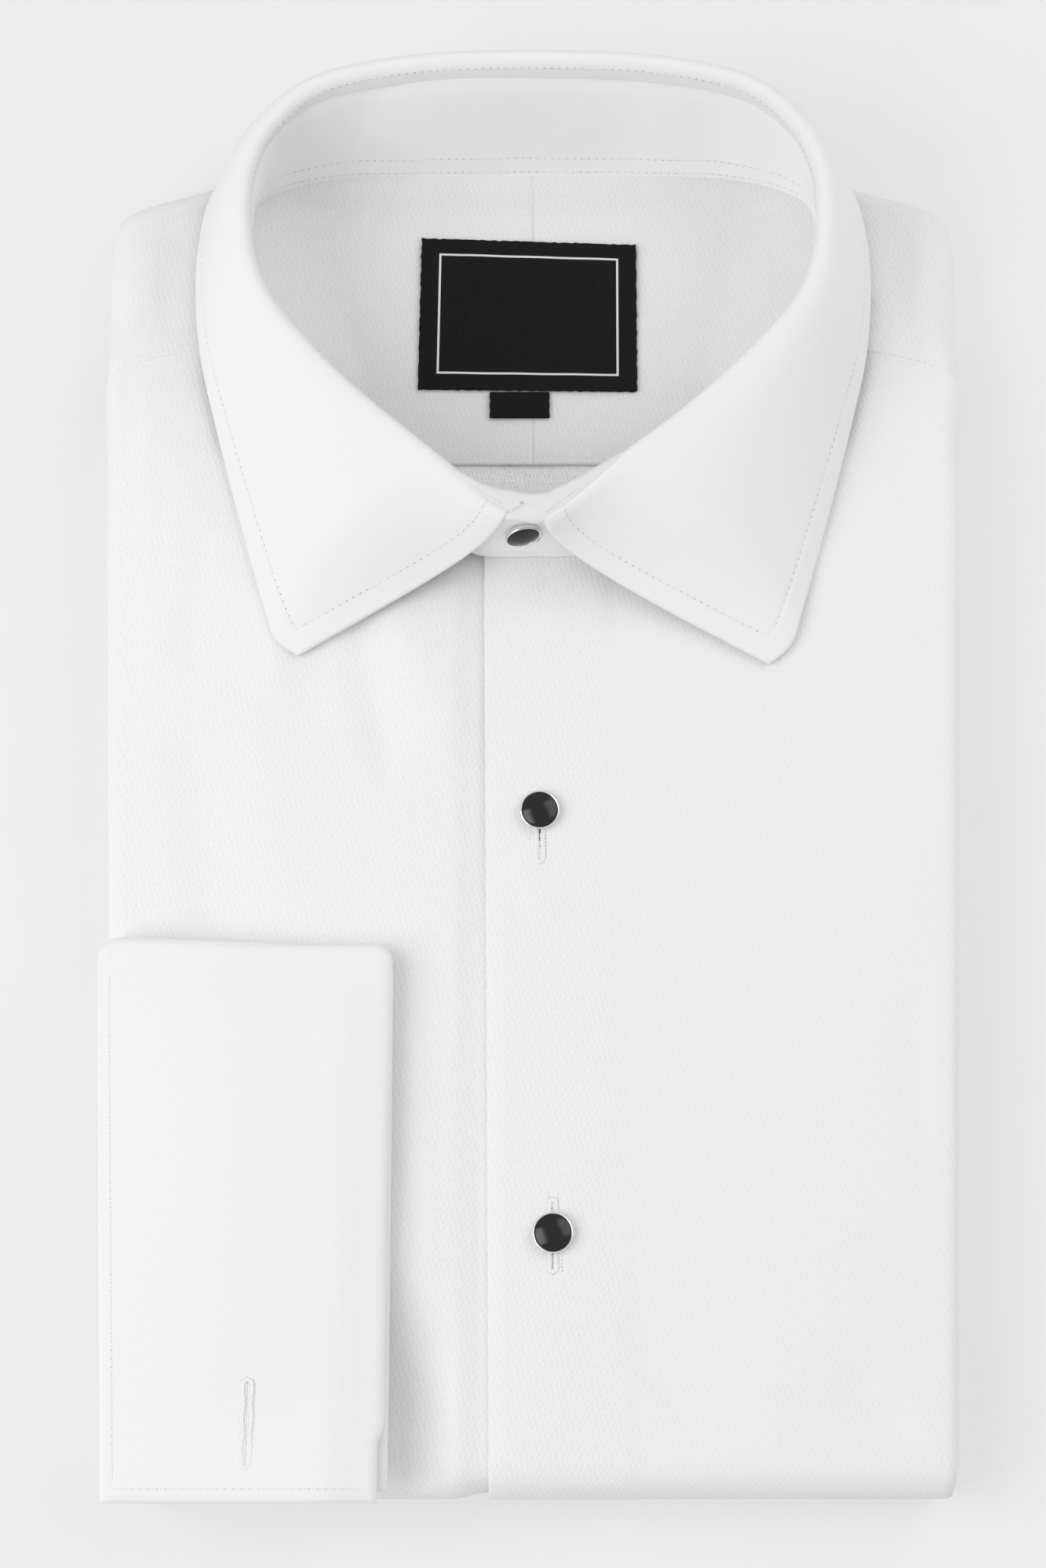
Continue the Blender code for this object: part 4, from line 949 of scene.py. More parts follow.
# %% The inner yokes and the back panel
def yoke_inner(side, name):
    """Half of the inner yoke: rows up the back, columns from the centre to the collar seam."""
    rim = YOKE_CLOTH / 2
    rows = stations(0, 1, 1 / 44, rim / 80)[:, None]
    at = np.interp(rows, (0, 1), (3.8, 10.3))
    centre_y = YOKE_EDGE_Y + (YOKE_TOP_Y - YOKE_EDGE_Y) * rows
    end_x, end_y = spline(COLLAR["seam_x"], at), spline(COLLAR["seam_y"], at)
    raised = ease(104, 124, end_y)
    end_x = end_x + 3.0 * (1 - raised) + 0.5 * raised * ease(1, 0.5, rows)
    end_y = end_y - (end_y[0] - YOKE_EDGE_Y) * ease(0.12, 0, rows)
    end_y = end_y + 0.6 * raised * ease(0.3, 0.9, rows)
    across = stations(0, 1, 1 / 46, rim / 70)[None]
    x = 0.02 + (end_x - 0.02) * across
    y = centre_y + (end_y - centre_y) * across**5
    seam_z = chest_height(end_x, end_y) + 0.15
    climb = np.maximum(ease(0.66, 1.0, across), ease(0.86, 0.99, rows))
    z = YOKE_FLOOR + (seam_z - YOKE_FLOOR) * raised * climb - 0.14 * ease(0.5, 0, x)
    z = z + 0.12 * np.sin(0.13 * x + 0.09 * y) * ease(0, 8, x) * ease(1, 0.8, across)
    face = np.stack([side * x, y, z], axis=-1)
    full = roundness(y - YOKE_EDGE_Y + 0.04, rim)
    drop = (rim * (1 - full))[..., None] * (0, 0, 1)
    back = face - (0, 0, YOKE_CLOTH) + drop
    uv = np.stack([side * x, y], -1)
    piece = cloth_piece(name + "_cloth", face - drop, back, uv, REVERSE)
    settle(piece, name, face)


yoke_inner(1, "yoke_inner_left")
yoke_inner(-1, "yoke_inner_right")


def back_panel():
    """The top of the back panel, from under the inner yoke's edge to beneath the fronts."""
    rim = YOKE_CLOTH / 2
    y = stations(BACK_PANEL_Y, YOKE_EDGE_Y + 3.0, 0.9, rim)[:, None]
    x = stations(-1, 1, 0.02, 0.01)[None] * (seam_half(y) + 3.5)
    z = YOKE_FLOOR - YOKE_CLOTH - 0.04 + 0 * x - 0.1 * (1 + np.sin(0.21 * x + 0.3 * y))
    face = np.stack([x, y + 0 * x, z], axis=-1)
    uv = np.stack([x, y + 0 * x], -1)
    piece = cloth_piece("back_panel_cloth", face, face - (0, 0, YOKE_CLOTH - 0.2), uv, BASKET)
    settle(piece, "back_panel", face)


back_panel()

# %% [markdown]
# ## What is folded inside
#
# The back, the sleeves and the sides lie inside the pack. Only their edges show, in the
# groove between the upper half and the tail, so all of it is one closed body whose sides
# are drawn in small rounded layers. A section across it is worked out at every station.


# %% The folded layers
def folded_layers():
    """Rings of points across the pack: top, layered side, bottom, other side, from end to end."""
    clear = FRONT_CLOTH + LAYER_CLEAR
    # its outline behind the neck follows the shoulders, inside their roll
    _, edge, normal, radius, _ = shoulder_lines(np.linspace(0, len(SHOULDER["edge_x"]) - 1, 40))
    inset = edge - normal * (radius[:, None] + SIDE_RETURN + 1.2)
    order = np.argsort(inset[:, 1])
    y = np.array([
        -172.9, -171.2, -168, -161, -160, *np.arange(-154, 50, 6.0), 52, 56, 60, 64, 68, 74,
        80, 88, 94.5, 95.5, 102, 106, 107, 112, 116, *np.arange(120, 155, 5.0), 154, 158, 161,
        164, 168])[:, None]
    base = side_height(y)
    upper = (base - CREVICE_TOP) / 2
    lobes = (y > -160.5) & (y < 106.5)
    inner_end = half_width(y) - TAIL_INSET - TAIL_ROLL - SIDE_RETURN - 1.0
    outer = np.where(y > 108, np.interp(y, inset[order, 1], inset[order, 0]), inner_end)
    outer = np.minimum(outer, inner_end)
    beyond = (FOLD_Y - y).clip(0) / (FOLD_RADIUS - clear - LAP)
    round_end = np.sqrt(np.clip(1 - beyond**2, 0.02, 1))

    # each section's flat top and bottom, and where they are lowered for what lies on them
    ring = np.where(y < 62, 22.0, np.maximum(seam_half(y), 4.0))
    neck = np.minimum(ring, outer - 14)
    reach = np.where(y < 118, neck + 8.0, neck + 3.0)
    inside = np.linspace(0, 1, 9)[None]
    outside = np.linspace(0.12, 1, 8)[None]
    half = np.concatenate([reach * inside, reach + (outer - reach) * outside], axis=1)
    lap = (LAP + BUTTON_ROOM) * ease(38, 26, half)
    panel = base + (chest_height(half, y) - base) * ease(-167, -150, y)
    top = panel - clear - np.where(y < 68, lap, 0)
    floor = YOKE_FLOOR - YOKE_CLOTH - 0.6 - np.where(y < 95, YOKE_CLOTH + GAP, 0)
    raised = ease(114, 136, y) * ease(0.82, 1.25, half / ring)
    floor = floor + np.maximum(top - floor, 0) * raised
    opened = ease(52, 60, y) * (half < ring + np.where(y < 118, 8.01, 2.0))
    top = top + np.minimum(floor - top, 0) * opened
    bottom = clear + np.where(y < HEM_Y + 4, LAP * ease(38, 26, half), 0)
    middle = FOLD_RADIUS
    top = middle + (top - middle) * round_end
    bottom = middle + (bottom - middle) * round_end

    # its side: an upper and a lower roll, ribbed nine times round as layers are
    turns = np.linspace(70, -90, 13)
    steps = np.radians(turns)[None]
    layer = 0.22 * np.cos(np.radians(turns) * 9)[None]
    up, down = upper - clear + layer - 0.22, TAIL_ROLL - clear + layer - 0.22
    up_x = half_width(y) - upper - 0.6 + up * np.cos(steps)
    up_z = base - upper + up * np.sin(steps)
    down_x = half_width(y) - TAIL_INSET - TAIL_ROLL - 0.6 + down * np.cos(steps)
    down_z = TAIL_ROLL - down * np.sin(steps) + 0 * y
    side_x = np.concatenate([up_x, inner_end, inner_end, down_x[:, ::-1]], axis=1)
    side_z = np.concatenate([up_z, up_z[:, -1:], down_z[:, -1:], down_z[:, ::-1]], axis=1)
    count = side_x.shape[1]
    share = (side_z - bottom[:, -1:]) / (top[:, -1:] - bottom[:, -1:])
    share = np.minimum(share[(lobes[:, 0]).argmax()], 1 - 0.006 * np.arange(1, count + 1))
    share = np.minimum.accumulate(share) - 0.0005 * np.arange(count)
    plain_z = bottom[:, -1:] + (top[:, -1:] - bottom[:, -1:]) * share
    side_x = np.where(lobes, side_x, outer + 0.6 * np.sin(math.pi * share))
    side_z = np.where(lobes, side_z, plain_z)

    # once round the section, and a cap at each end between the top's points and the bottom's
    ring_x = np.concatenate(
        [-half[:, :0:-1], half, side_x, half[:, ::-1], -half[:, 1:], -side_x[:, ::-1]], axis=1)
    right_top = top - cuff_hollow(half, y) * round_end**2
    ring_z = np.concatenate(
        [right_top[:, :0:-1], top, side_z, bottom[:, ::-1], bottom[:, 1:], side_z[:, ::-1]], axis=1)
    points = np.stack([ring_x, y + 0 * ring_x, ring_z], axis=-1)
    rows, around = ring_x.shape
    wide, half_side = 2 * half.shape[1] - 1, count // 2
    above = np.concatenate([around - half_side + np.arange(half_side), np.arange(wide + half_side)])
    below = around - half_side - 1 - np.arange(wide + 2 * half_side)
    cap = np.stack([above[:-1], above[1:], below[1:], below[:-1]], -1)
    sides = tube_quads(rows, around)
    quads = np.concatenate([sides, cap[:, ::-1], cap + (rows - 1) * around])
    uv = np.stack([travelled(points, axis=1), points[..., 1]], -1).reshape(-1, 2)
    piece = make("folded_layers_cloth", [(points.reshape(-1, 3), quads, uv)], REVERSE)
    settle(piece, "folded_layers")


folded_layers()

# %% [markdown]
# ## The collar
#
# A shirt collar is two pieces. The stand is a firm band round the neck whose ends lap over
# each other at the front. The leaf is sewn to its upper edge, rises a little, turns over
# on itself and falls outwards to an edge with two points. Each is a profile carried round
# the neck. The stations of both come from one table, so the leaf stays around the stand.


# %% Stations round the collar
def plan_normal(line):
    """Horizontal unit normals of a line, to the left of its way."""
    ahead = unit(np.gradient(line[:, :2], axis=0))
    return np.stack([-ahead[:, 1], ahead[:, 0], 0 * ahead[:, 0]], -1)


def collar_ring(half, start):
    """Side, row of the table, seam and fold points and the lap at each station round the collar.

    half lists the rows from the centre front to the centre back. The lap is 1 where the
    under-lap end of the leaf folds over the over-lap, else 0.
    """
    last = len(COLLAR["edge_x"]) - 1
    rows = np.concatenate([half, half[-2::-1]])
    side = np.concatenate([-np.ones(len(half)), np.ones(len(half) - 1)])
    at = start + rows * (1 - start / last)
    seam, fold = curve(COLLAR, "seam_x seam_y", at), curve(COLLAR, "fold_x fold_y fold_z", at)
    seam[:, 0] *= side
    fold[:, 0] *= side
    in_front = seam[:, 1] < 120
    near = ease(38, 8, np.abs(seam[:, 0])) * in_front
    seam[:, 1] += UNDERLAP_STEP * (side < 0) * near
    level, start_x, end_x = OVERLAP_SEAM
    climbing = level + (seam[:, 1] - level) * ease(start_x, end_x, seam[:, 0])
    seam[:, 1] = np.where((side > 0) & in_front, climbing, seam[:, 1])
    fold[:, 1] -= UNDERLAP_SAG * (side < 0) * ease(66, 50, np.abs(fold[:, 0])) * in_front
    for line in (seam, fold):
        line[:, 0] += COLLAR_SHIFT * near
    return rows, side, seam, fold, ease(1.4, 0, rows) * (side < 0)


def fold_radius(rows, lap):
    """Radius of the collar's fold: wider at its front ends."""
    wider = (LAP_ROLL - FRONT_ROLL) * lap + FRONT_ROLL * ease(2.4, 0.4, rows)
    return (COLLAR_ROLL + wider)[:, None]


# %% The stand
STAND_WRINKLE, STAND_STEP_BACK = 0.45, 0.45   # mm; its upper edge keeps behind the leaf
STAND_ENDS = (0, 0.005, 0.25, 0.43, 0.575, 0.8, 0.995, 1.0)
STAND_SHARE = segments([np.full((1, 1), v) for v in STAND_ENDS], (1, 5, 5, 4, 6, 6, 1))[0]
SLIT_COLUMNS = slice(11, 15)  # the columns of its two buttonholes, between 0.43 and 0.575
# control stations of its two free ends, in from each tip: foot, top, and how far the rounded
# tip is lifted
UNDER_END = table(
    "x foot_y top_y top_z lift",
    (9.8, 68.2, 69.6, 43, 3), (9, 67.9, 69.3, 45, 0.8), (6, 67.1, 67.6, 45.4, 0),
    (2.4, 66.5, 66.6, 45.8, 0), (-1.95, 66.1, 65.8, 45.8, 0), (-4.05, 66.3, 65.6, 45.8, 0),
    (-6.8, 66.9, 66.2, 45.8, 0), (-10.2, 67.7, 67.8, 45.6, 0), (-14, 69.7, 70, 45, 0),
)
OVER_END = table(
    "x foot_y top_y top_z lift",
    (-1.95, 60.6, 65, 45, 0), (-4.05, 60.5, 64.6, 44.9, 0), (-8.5, 60.5, 63.6, 44.4, 0),
    (-13, 60.8, 63, 42.2, 0.15), (-15.4, 61.3, 63.2, 39.7, 1), (-16.3, 61.5, 63.4, 36.7, 3.4),
)
# the rolled tops of the two ends: the inner line, the outer line that the leaf is sewn on, and
# the height that it turns through
UNDER_LIP = table(
    "x y z out_x out_y out_z high",
    (-26.5, 76.4, 46.6, -24.9, 74.2, 46, 1.6), (-21.8, 75.7, 48, -20.4, 73, 46.7, 2),
    (-17.4, 73.3, 48.5, -15.8, 70, 46.8, 2.2), (-13.3, 71, 48.5, -11.7, 67, 46.7, 2.4),
    (-9.5, 69.8, 48.5, -8.2, 64.8, 46.5, 2.4), (-6.2, 69.1, 48.5, -5.6, 63.4, 46, 2.4),
    (-1.4, 68.3, 48.4, -1.2, 63.6, 45.6, 2.4), (3.3, 68.5, 48.1, 3, 64.6, 45.2, 2.2),
    (7.5, 70, 47.4, 6.6, 66.8, 44.8, 1.8), (10.5, 71.4, 46.2, 9.5, 68.8, 44.4, 1.4),
)
OVER_LIP = table(
    "x y z out_x out_y out_z high",
    (30.5, 83.2, 46.6, 29.4, 80.8, 45.8, 1.8), (25.9, 81, 48.2, 24.8, 78, 46.8, 2.2),
    (21.8, 78.9, 48.7, 21.2, 74.8, 46.9, 2.4), (17.8, 76.5, 48.9, 17.3, 71.4, 46.9, 2.6),
    (13.8, 74, 48.9, 13.7, 68.8, 46.9, 2.6), (10.2, 71.9, 48.9, 10, 66.1, 46.8, 2.6),
    (7.2, 70.4, 48.8, 7.1, 63.8, 46.6, 2.6), (4.6, 69, 48.6, 4.8, 62.2, 46.4, 2.4),
    (2.4, 67.5, 48.2, 2.7, 61.1, 46.3, 2.2), (0, 66.1, 47.8, 0.1, 60.9, 46.2, 2),
    (-3, 64.8, 47.2, -3, 61.4, 46.1, 1.6), (-6, 63.8, 46.6, -6, 61.8, 45.9, 1.2),
    (-8.6, 63.1, 46, -8.4, 62.2, 45.7, 0.8),
)


def rolled_lip(lines):
    """The rolled top of a free end: from the inner line up and over to the outer line.

    At turn t, 0 to 90 degrees, the place is inner + (outer - inner) (1 - cos t), and the
    height is the inner line's less high (1 - sin t), bent down to the outer line's height.
    """
    at = np.arange(0, len(lines["x"]) - 0.99, 0.2)
    x, y, z, out_x, out_y, out_z, high = (spline(lines[k], at)[:, None] for k in lines)
    turn = np.radians(np.arange(0, 91, 7.5))[None]
    over = 1 - np.cos(turn)
    rise = np.array([[-1.8, -1.2, -0.6]])
    plan_x = np.concatenate([x + 0 * rise, x + (out_x - x) * over], axis=1)
    plan_y = np.concatenate([y + 0 * rise, y + (out_y - y) * over], axis=1)
    height = z - high * (1 - np.sin(turn)) + (out_z - z) * over**1.5
    height = np.concatenate([height[:, :1] + rise, height], axis=1)
    middle = np.stack([plan_x, plan_y, height], -1)
    gone = travelled(middle, axis=1)
    along = travelled(middle[:, 4])[:, None]
    inside = np.minimum(gone[:, -1:] - gone, np.minimum(along, along[-1] - along))
    face, back = thicken(middle, LIP_CLOTH, roundness(inside + 0.05, LIP_CLOTH / 2))
    return closed_wall(face, back, np.stack([LIP_U + along + 0 * gone, gone], -1))


def collar_stand():
    """The stand: control stations as the solid has them, with finer rows by a spline."""
    finer = 5
    last = len(COLLAR["edge_x"]) - 1
    rows, side, seam, fold, lap = collar_ring(np.linspace(0, last, 22), BAND_START)
    ring = (side > 0) | (seam[:, 0] < -17.5)
    seam, fold, radius = seam[ring], fold[ring], fold_radius(rows, lap)[ring]
    under, over = UNDER_END, OVER_END
    seam = np.concatenate([np.stack([under["x"], under["foot_y"]], -1), seam,
                           np.stack([over["x"], over["foot_y"]], -1)])
    fold = np.concatenate([np.stack([under["x"], under["top_y"], under["top_z"]], -1), fold,
                           np.stack([over["x"], over["top_y"], over["top_z"]], -1)])
    free = np.concatenate([np.ones(len(under["x"])), np.zeros(ring.sum()), np.ones(len(over["x"]))])
    radius = np.concatenate([under["x"][:, None] * 0, radius, over["x"][:, None] * 0])
    low = chest_height(seam[:, 0], seam[:, 1]) + 0.12
    low += FACING_EXTRA * ((seam[:, 0] > -14) & (seam[:, 0] < 26) & (seam[:, 1] < 76))
    low += np.concatenate([under["lift"], np.zeros(ring.sum()), over["lift"]])
    foot = np.stack([seam[:, 0], seam[:, 1], low], -1)
    up = unit(fold - foot)
    top = fold - (1 - free)[:, None] * (up * (radius + LEAF_RISE + 0.02) + (0, 0, COLLAR_CLOTH / 2))
    at = np.arange((len(foot) - 1) * finer + 1) / finer
    foot, top, free = spline(foot, at), spline(top, at), spline(free, at).clip(0, 1)
    share = STAND_SHARE[None]
    middle = foot[:, None] + share[0][None, :, None] * (top - foot)[:, None]
    across = travelled(foot)[:, None]
    held, level = 1 - free[:, None], plan_normal(foot)
    wrinkle = np.sin(0.071 * across + 1.0) * np.sin(0.19 * across) * np.sin(math.pi * share)
    middle = middle + level[:, None] * (STAND_WRINKLE * wrinkle * held)[..., None]
    away = level * np.sign((level * (foot - (0, 115, 0))).sum(-1, keepdims=True))
    step_back = STAND_STEP_BACK * ease(0.86, 1.0, share) * held
    middle = middle + away[:, None] * step_back[..., None]
    reach = np.linalg.norm(top - foot, axis=-1)[:, None] * share
    full = roundness(np.minimum(across, across[-1] - across) + 0.05, COLLAR_CLOTH / 2)
    rounded_top = roundness(reach[:, -1:] - reach + 0.05, COLLAR_CLOTH / 2)
    full = full * (1 - free[:, None] * (1 - rounded_top))
    level, square = level[:, None], outward(middle)
    square = square * np.sign((square * level).sum(-1, keepdims=True))
    facing = unit(level + (square - level) * share[..., None])
    offset = facing * (COLLAR_CLOTH / 2 * full)[..., None]
    # each end has its buttonhole in one stretch between control stations
    last_row = len(foot) - 1
    keep = np.ones((last_row, share.shape[1] - 1), bool)
    keep[4 * finer: 5 * finer, SLIT_COLUMNS] = False
    keep[last_row - 6 * finer: last_row - 5 * finer, SLIT_COLUMNS] = False
    uv = np.stack([across + 0 * reach, reach], -1)
    band = closed_wall(middle + offset, middle - offset, uv, keep)
    parts = [band, rolled_lip(UNDER_LIP), rolled_lip(OVER_LIP)]
    piece = make("collar_stand_cloth", parts, STAND_COTTON)
    settle(piece, "collar_stand", middle)
    return middle, offset


STAND, STAND_OFFSET = collar_stand()


# %% The leaf
# each front edge, -1 the under-lap's: where it leaves the fold, and the pulls at the two ends
# of its curve
LEAF_FRONT = {
    -1: (-7.6, 62.0, np.array([-4.5, -3.2, -16.4]), np.array([30.4, 18.0, 1.6])),
    1: (2.4, 61.4, np.array([3.6, -2.7, -17.2]), np.array([-34.4, 18.2, 1.6])),
}
# distances from the leaf's edge of its last columns, closer and closer
LAST_COLUMNS = (8.4, 7.6, 7.1, 6.7, 6.3, 6.0, 5.7, 5.3, 4.8, 4.0, 3.0, 1.9, 1.0, 0.45, 0.12, 0)
FOLD_COLUMNS = 15             # the leaf's columns in its rise and its turn


def even_columns(middle):
    """The leaf's points moved along each row, to even columns that close up before the edge."""
    along = travelled(middle, axis=1)
    whole, rowwise = along[:, -1:], 1000 * np.arange(len(middle))[:, None]
    first = along[:, :FOLD_COLUMNS]
    fall = first[:, -1:] + (whole - 9.2 - first[:, -1:]) * (np.arange(1, 31) / 30)
    wanted = np.concatenate([first, fall, whole - np.array(LAST_COLUMNS)], axis=1)
    at, known = wanted + rowwise, (along + rowwise).ravel()
    moved = [np.interp(at, known, middle[..., k].ravel()) for k in range(3)]
    return np.stack(moved, -1), wanted


def stitched_groove(middle, along):
    """Height along the leaf's rims: a lifted edge, and a groove pulled in by the stitches."""
    near = along[:, -1:] - along
    for rows, line in ((slice(0, 45), middle[0]), (slice(len(middle) - 45, None), middle[-1])):
        gap = np.linalg.norm(middle[rows, :, None] - line, axis=-1).min(-1)
        near[rows] = np.minimum(near[rows], gap)
    lifted = EDGE_LIFT * ease(LEAF_STITCH + 0.2, LEAF_STITCH - 1, near)
    groove = lifted - GROOVE_DEPTH * np.exp(-((near - LEAF_STITCH) / 0.55) ** 2)
    return groove * (along > along[:, FOLD_COLUMNS - 1: FOLD_COLUMNS])


def collar_leaf():
    """The leaf: a short rise, a quarter turn over the fold, and a Bezier fall to the edge."""
    last = len(COLLAR["edge_x"]) - 1
    rim = COLLAR_CLOTH / 2
    half = np.concatenate([np.array([0, 0.03, 0.08]) * 0.6, np.linspace(0.09, last, 118)])
    rows, side, seam, fold, lap = collar_ring(half, LEAF_START)
    edge = curve(COLLAR, "edge_x edge_y edge_z", rows)
    edge[:, 0] *= side
    edge[:, 1] += POINT_RISE * ease(2.5, 0, rows) * (side < 0)
    edge[:, 2] -= POINT_DROP * ease(2.5, 0, rows)
    foot = np.stack([seam[:, 0], seam[:, 1], chest_height(seam[:, 0], seam[:, 1])], -1)
    end = ease(1.4, 0, rows)
    fold[:, 1] -= LEAF_FLARE * end + LEAF_BACK * ease(2.6, 0.2, rows) * (side > 0)
    radius = fold_radius(rows, lap)
    up = unit(fold - foot)
    out = (edge - fold) * (1, 1, 0)
    reach = np.linalg.norm(out, axis=-1, keepdims=True)
    out = out / reach
    square = plan_normal(fold)
    square = square * np.sign((square * out).sum(-1, keepdims=True))
    bank = unit(out * 0.45 + square * 0.55)
    reach_out = radius * bank
    front = ease(2.2, 0, rows)[:, None]
    for sign, (start_x, start_y, _, _) in LEAF_FRONT.items():
        first = np.argmax(side == sign) if sign < 0 else len(rows) - 1
        wanted = np.array([start_x, start_y, 0]) - fold[first] * (1, 1, 0)
        drawn = reach_out + (wanted - reach_out) * front
        reach_out = np.where((side == sign)[:, None], drawn, reach_out)
    turn_start = fold - up * radius - (0, 0, COLLAR_CLOTH / 2)
    angle = np.radians(np.arange(0, 91, 9))[:, None, None]
    rise = stations(-LEAF_RISE, 0, 0.7, rim * 0.9)[:-4, None, None]
    roll = turn_start + reach_out * (1 - np.cos(angle)) + radius * up * np.sin(angle)
    crest = roll[-1]
    # the Bezier curve's two handles: out from the crest, and back from the edge
    chord = edge - crest
    length = np.linalg.norm(chord, axis=-1, keepdims=True)
    handle = crest + bank * 1.6 + out * 0.24 * reach
    flatness = ease(20, 60, reach)
    landing = edge - chord * (0.30 + 0.08 * flatness) + np.array([0, 0, 1]) * 0.07 * length
    straight = ease(4.5, 0, rows)
    handle[:, 2] -= LEAF_FLATTEN * straight
    landing[:, 2] -= 0.55 * LEAF_FLATTEN * straight
    for sign, (_, _, pull, settle_in) in LEAF_FRONT.items():
        mine = front * (side == sign)[:, None]
        handle = handle + (crest + pull - handle) * mine
        landing = landing + (edge + settle_in - landing) * mine
    t = np.concatenate([np.linspace(0, 1, 36)[1:-1], [0.985, 0.993, 0.998, 1.0]])[:, None, None]
    fall = ((1 - t) ** 3 * crest + 3 * (1 - t) ** 2 * t * handle
            + 3 * (1 - t) * t**2 * landing + t**3 * edge)
    middle = np.concatenate([turn_start + up * rise, roll, fall]).transpose(1, 0, 2)
    middle, along = even_columns(middle)
    around = travelled(middle)
    inside = np.minimum(along[:, -1:] - along, np.minimum(around, around[-1:] - around))
    face, back = thicken(middle, COLLAR_CLOTH, roundness(inside + 0.05, rim))
    normal = unit(face - back)
    groove = stitched_groove(middle, along)[..., None]
    face = face + normal * groove * np.sign(normal[:, 30:31, 2:])
    uv = np.stack([around[:, 14:15] + 0 * along, along], -1)
    piece = cloth_piece("collar_leaf_cloth", face, back, uv, PRESSED)
    settle(piece, "collar_leaf", middle)
    return face, along


LEAF_FACE, LEAF_ALONG = collar_leaf()

# %% [markdown]
# ## The double cuff and the sleeve's end
#
# A double cuff is a firm band folded back on itself at the wrist, so it has two plies of
# doubled, interlined cloth. It lies on the front with its fold to the top, and a slit for
# a cuff link goes through both plies. The sleeve comes round the side fold beneath it.


# %% The double cuff
SLIT_HALF, SLIT_COLUMN = 0.02, 24
CUFF_CORNERS = (5.0, 3.6)     # radius of the fold's left and right corner
# half thickness across the cuff near its right edge, as a share: it thins to a fine edge
CUFF_THINS = table("x share", (-38.5, 1), (-37.6, 0.99), (-36.6, 0.9), (-35.8, 0.68),
                   (-35.3, 0.42), (CUFF_RIGHT, 0.12))


def cuff_columns(left):
    """Columns across the cuff, close at its two edges and beside the slit."""
    near = CUFF_SLIT_X + np.array((-SLIT_HALF - 0.2, -SLIT_HALF, SLIT_HALF, SLIT_HALF + 0.2))
    fixed = (-94.0, *near, -46.0, -37.6, -36.2, -35.5, -35.12, CUFF_RIGHT)
    ends = [left + step for step in (0, 0.15, 0.5, 1.1)] + [x + 0 * left for x in fixed]
    return segments(ends, (1, 1, 1, 6, 14, 1, 1, 1, 13, 10, 4, 2, 1, 1))


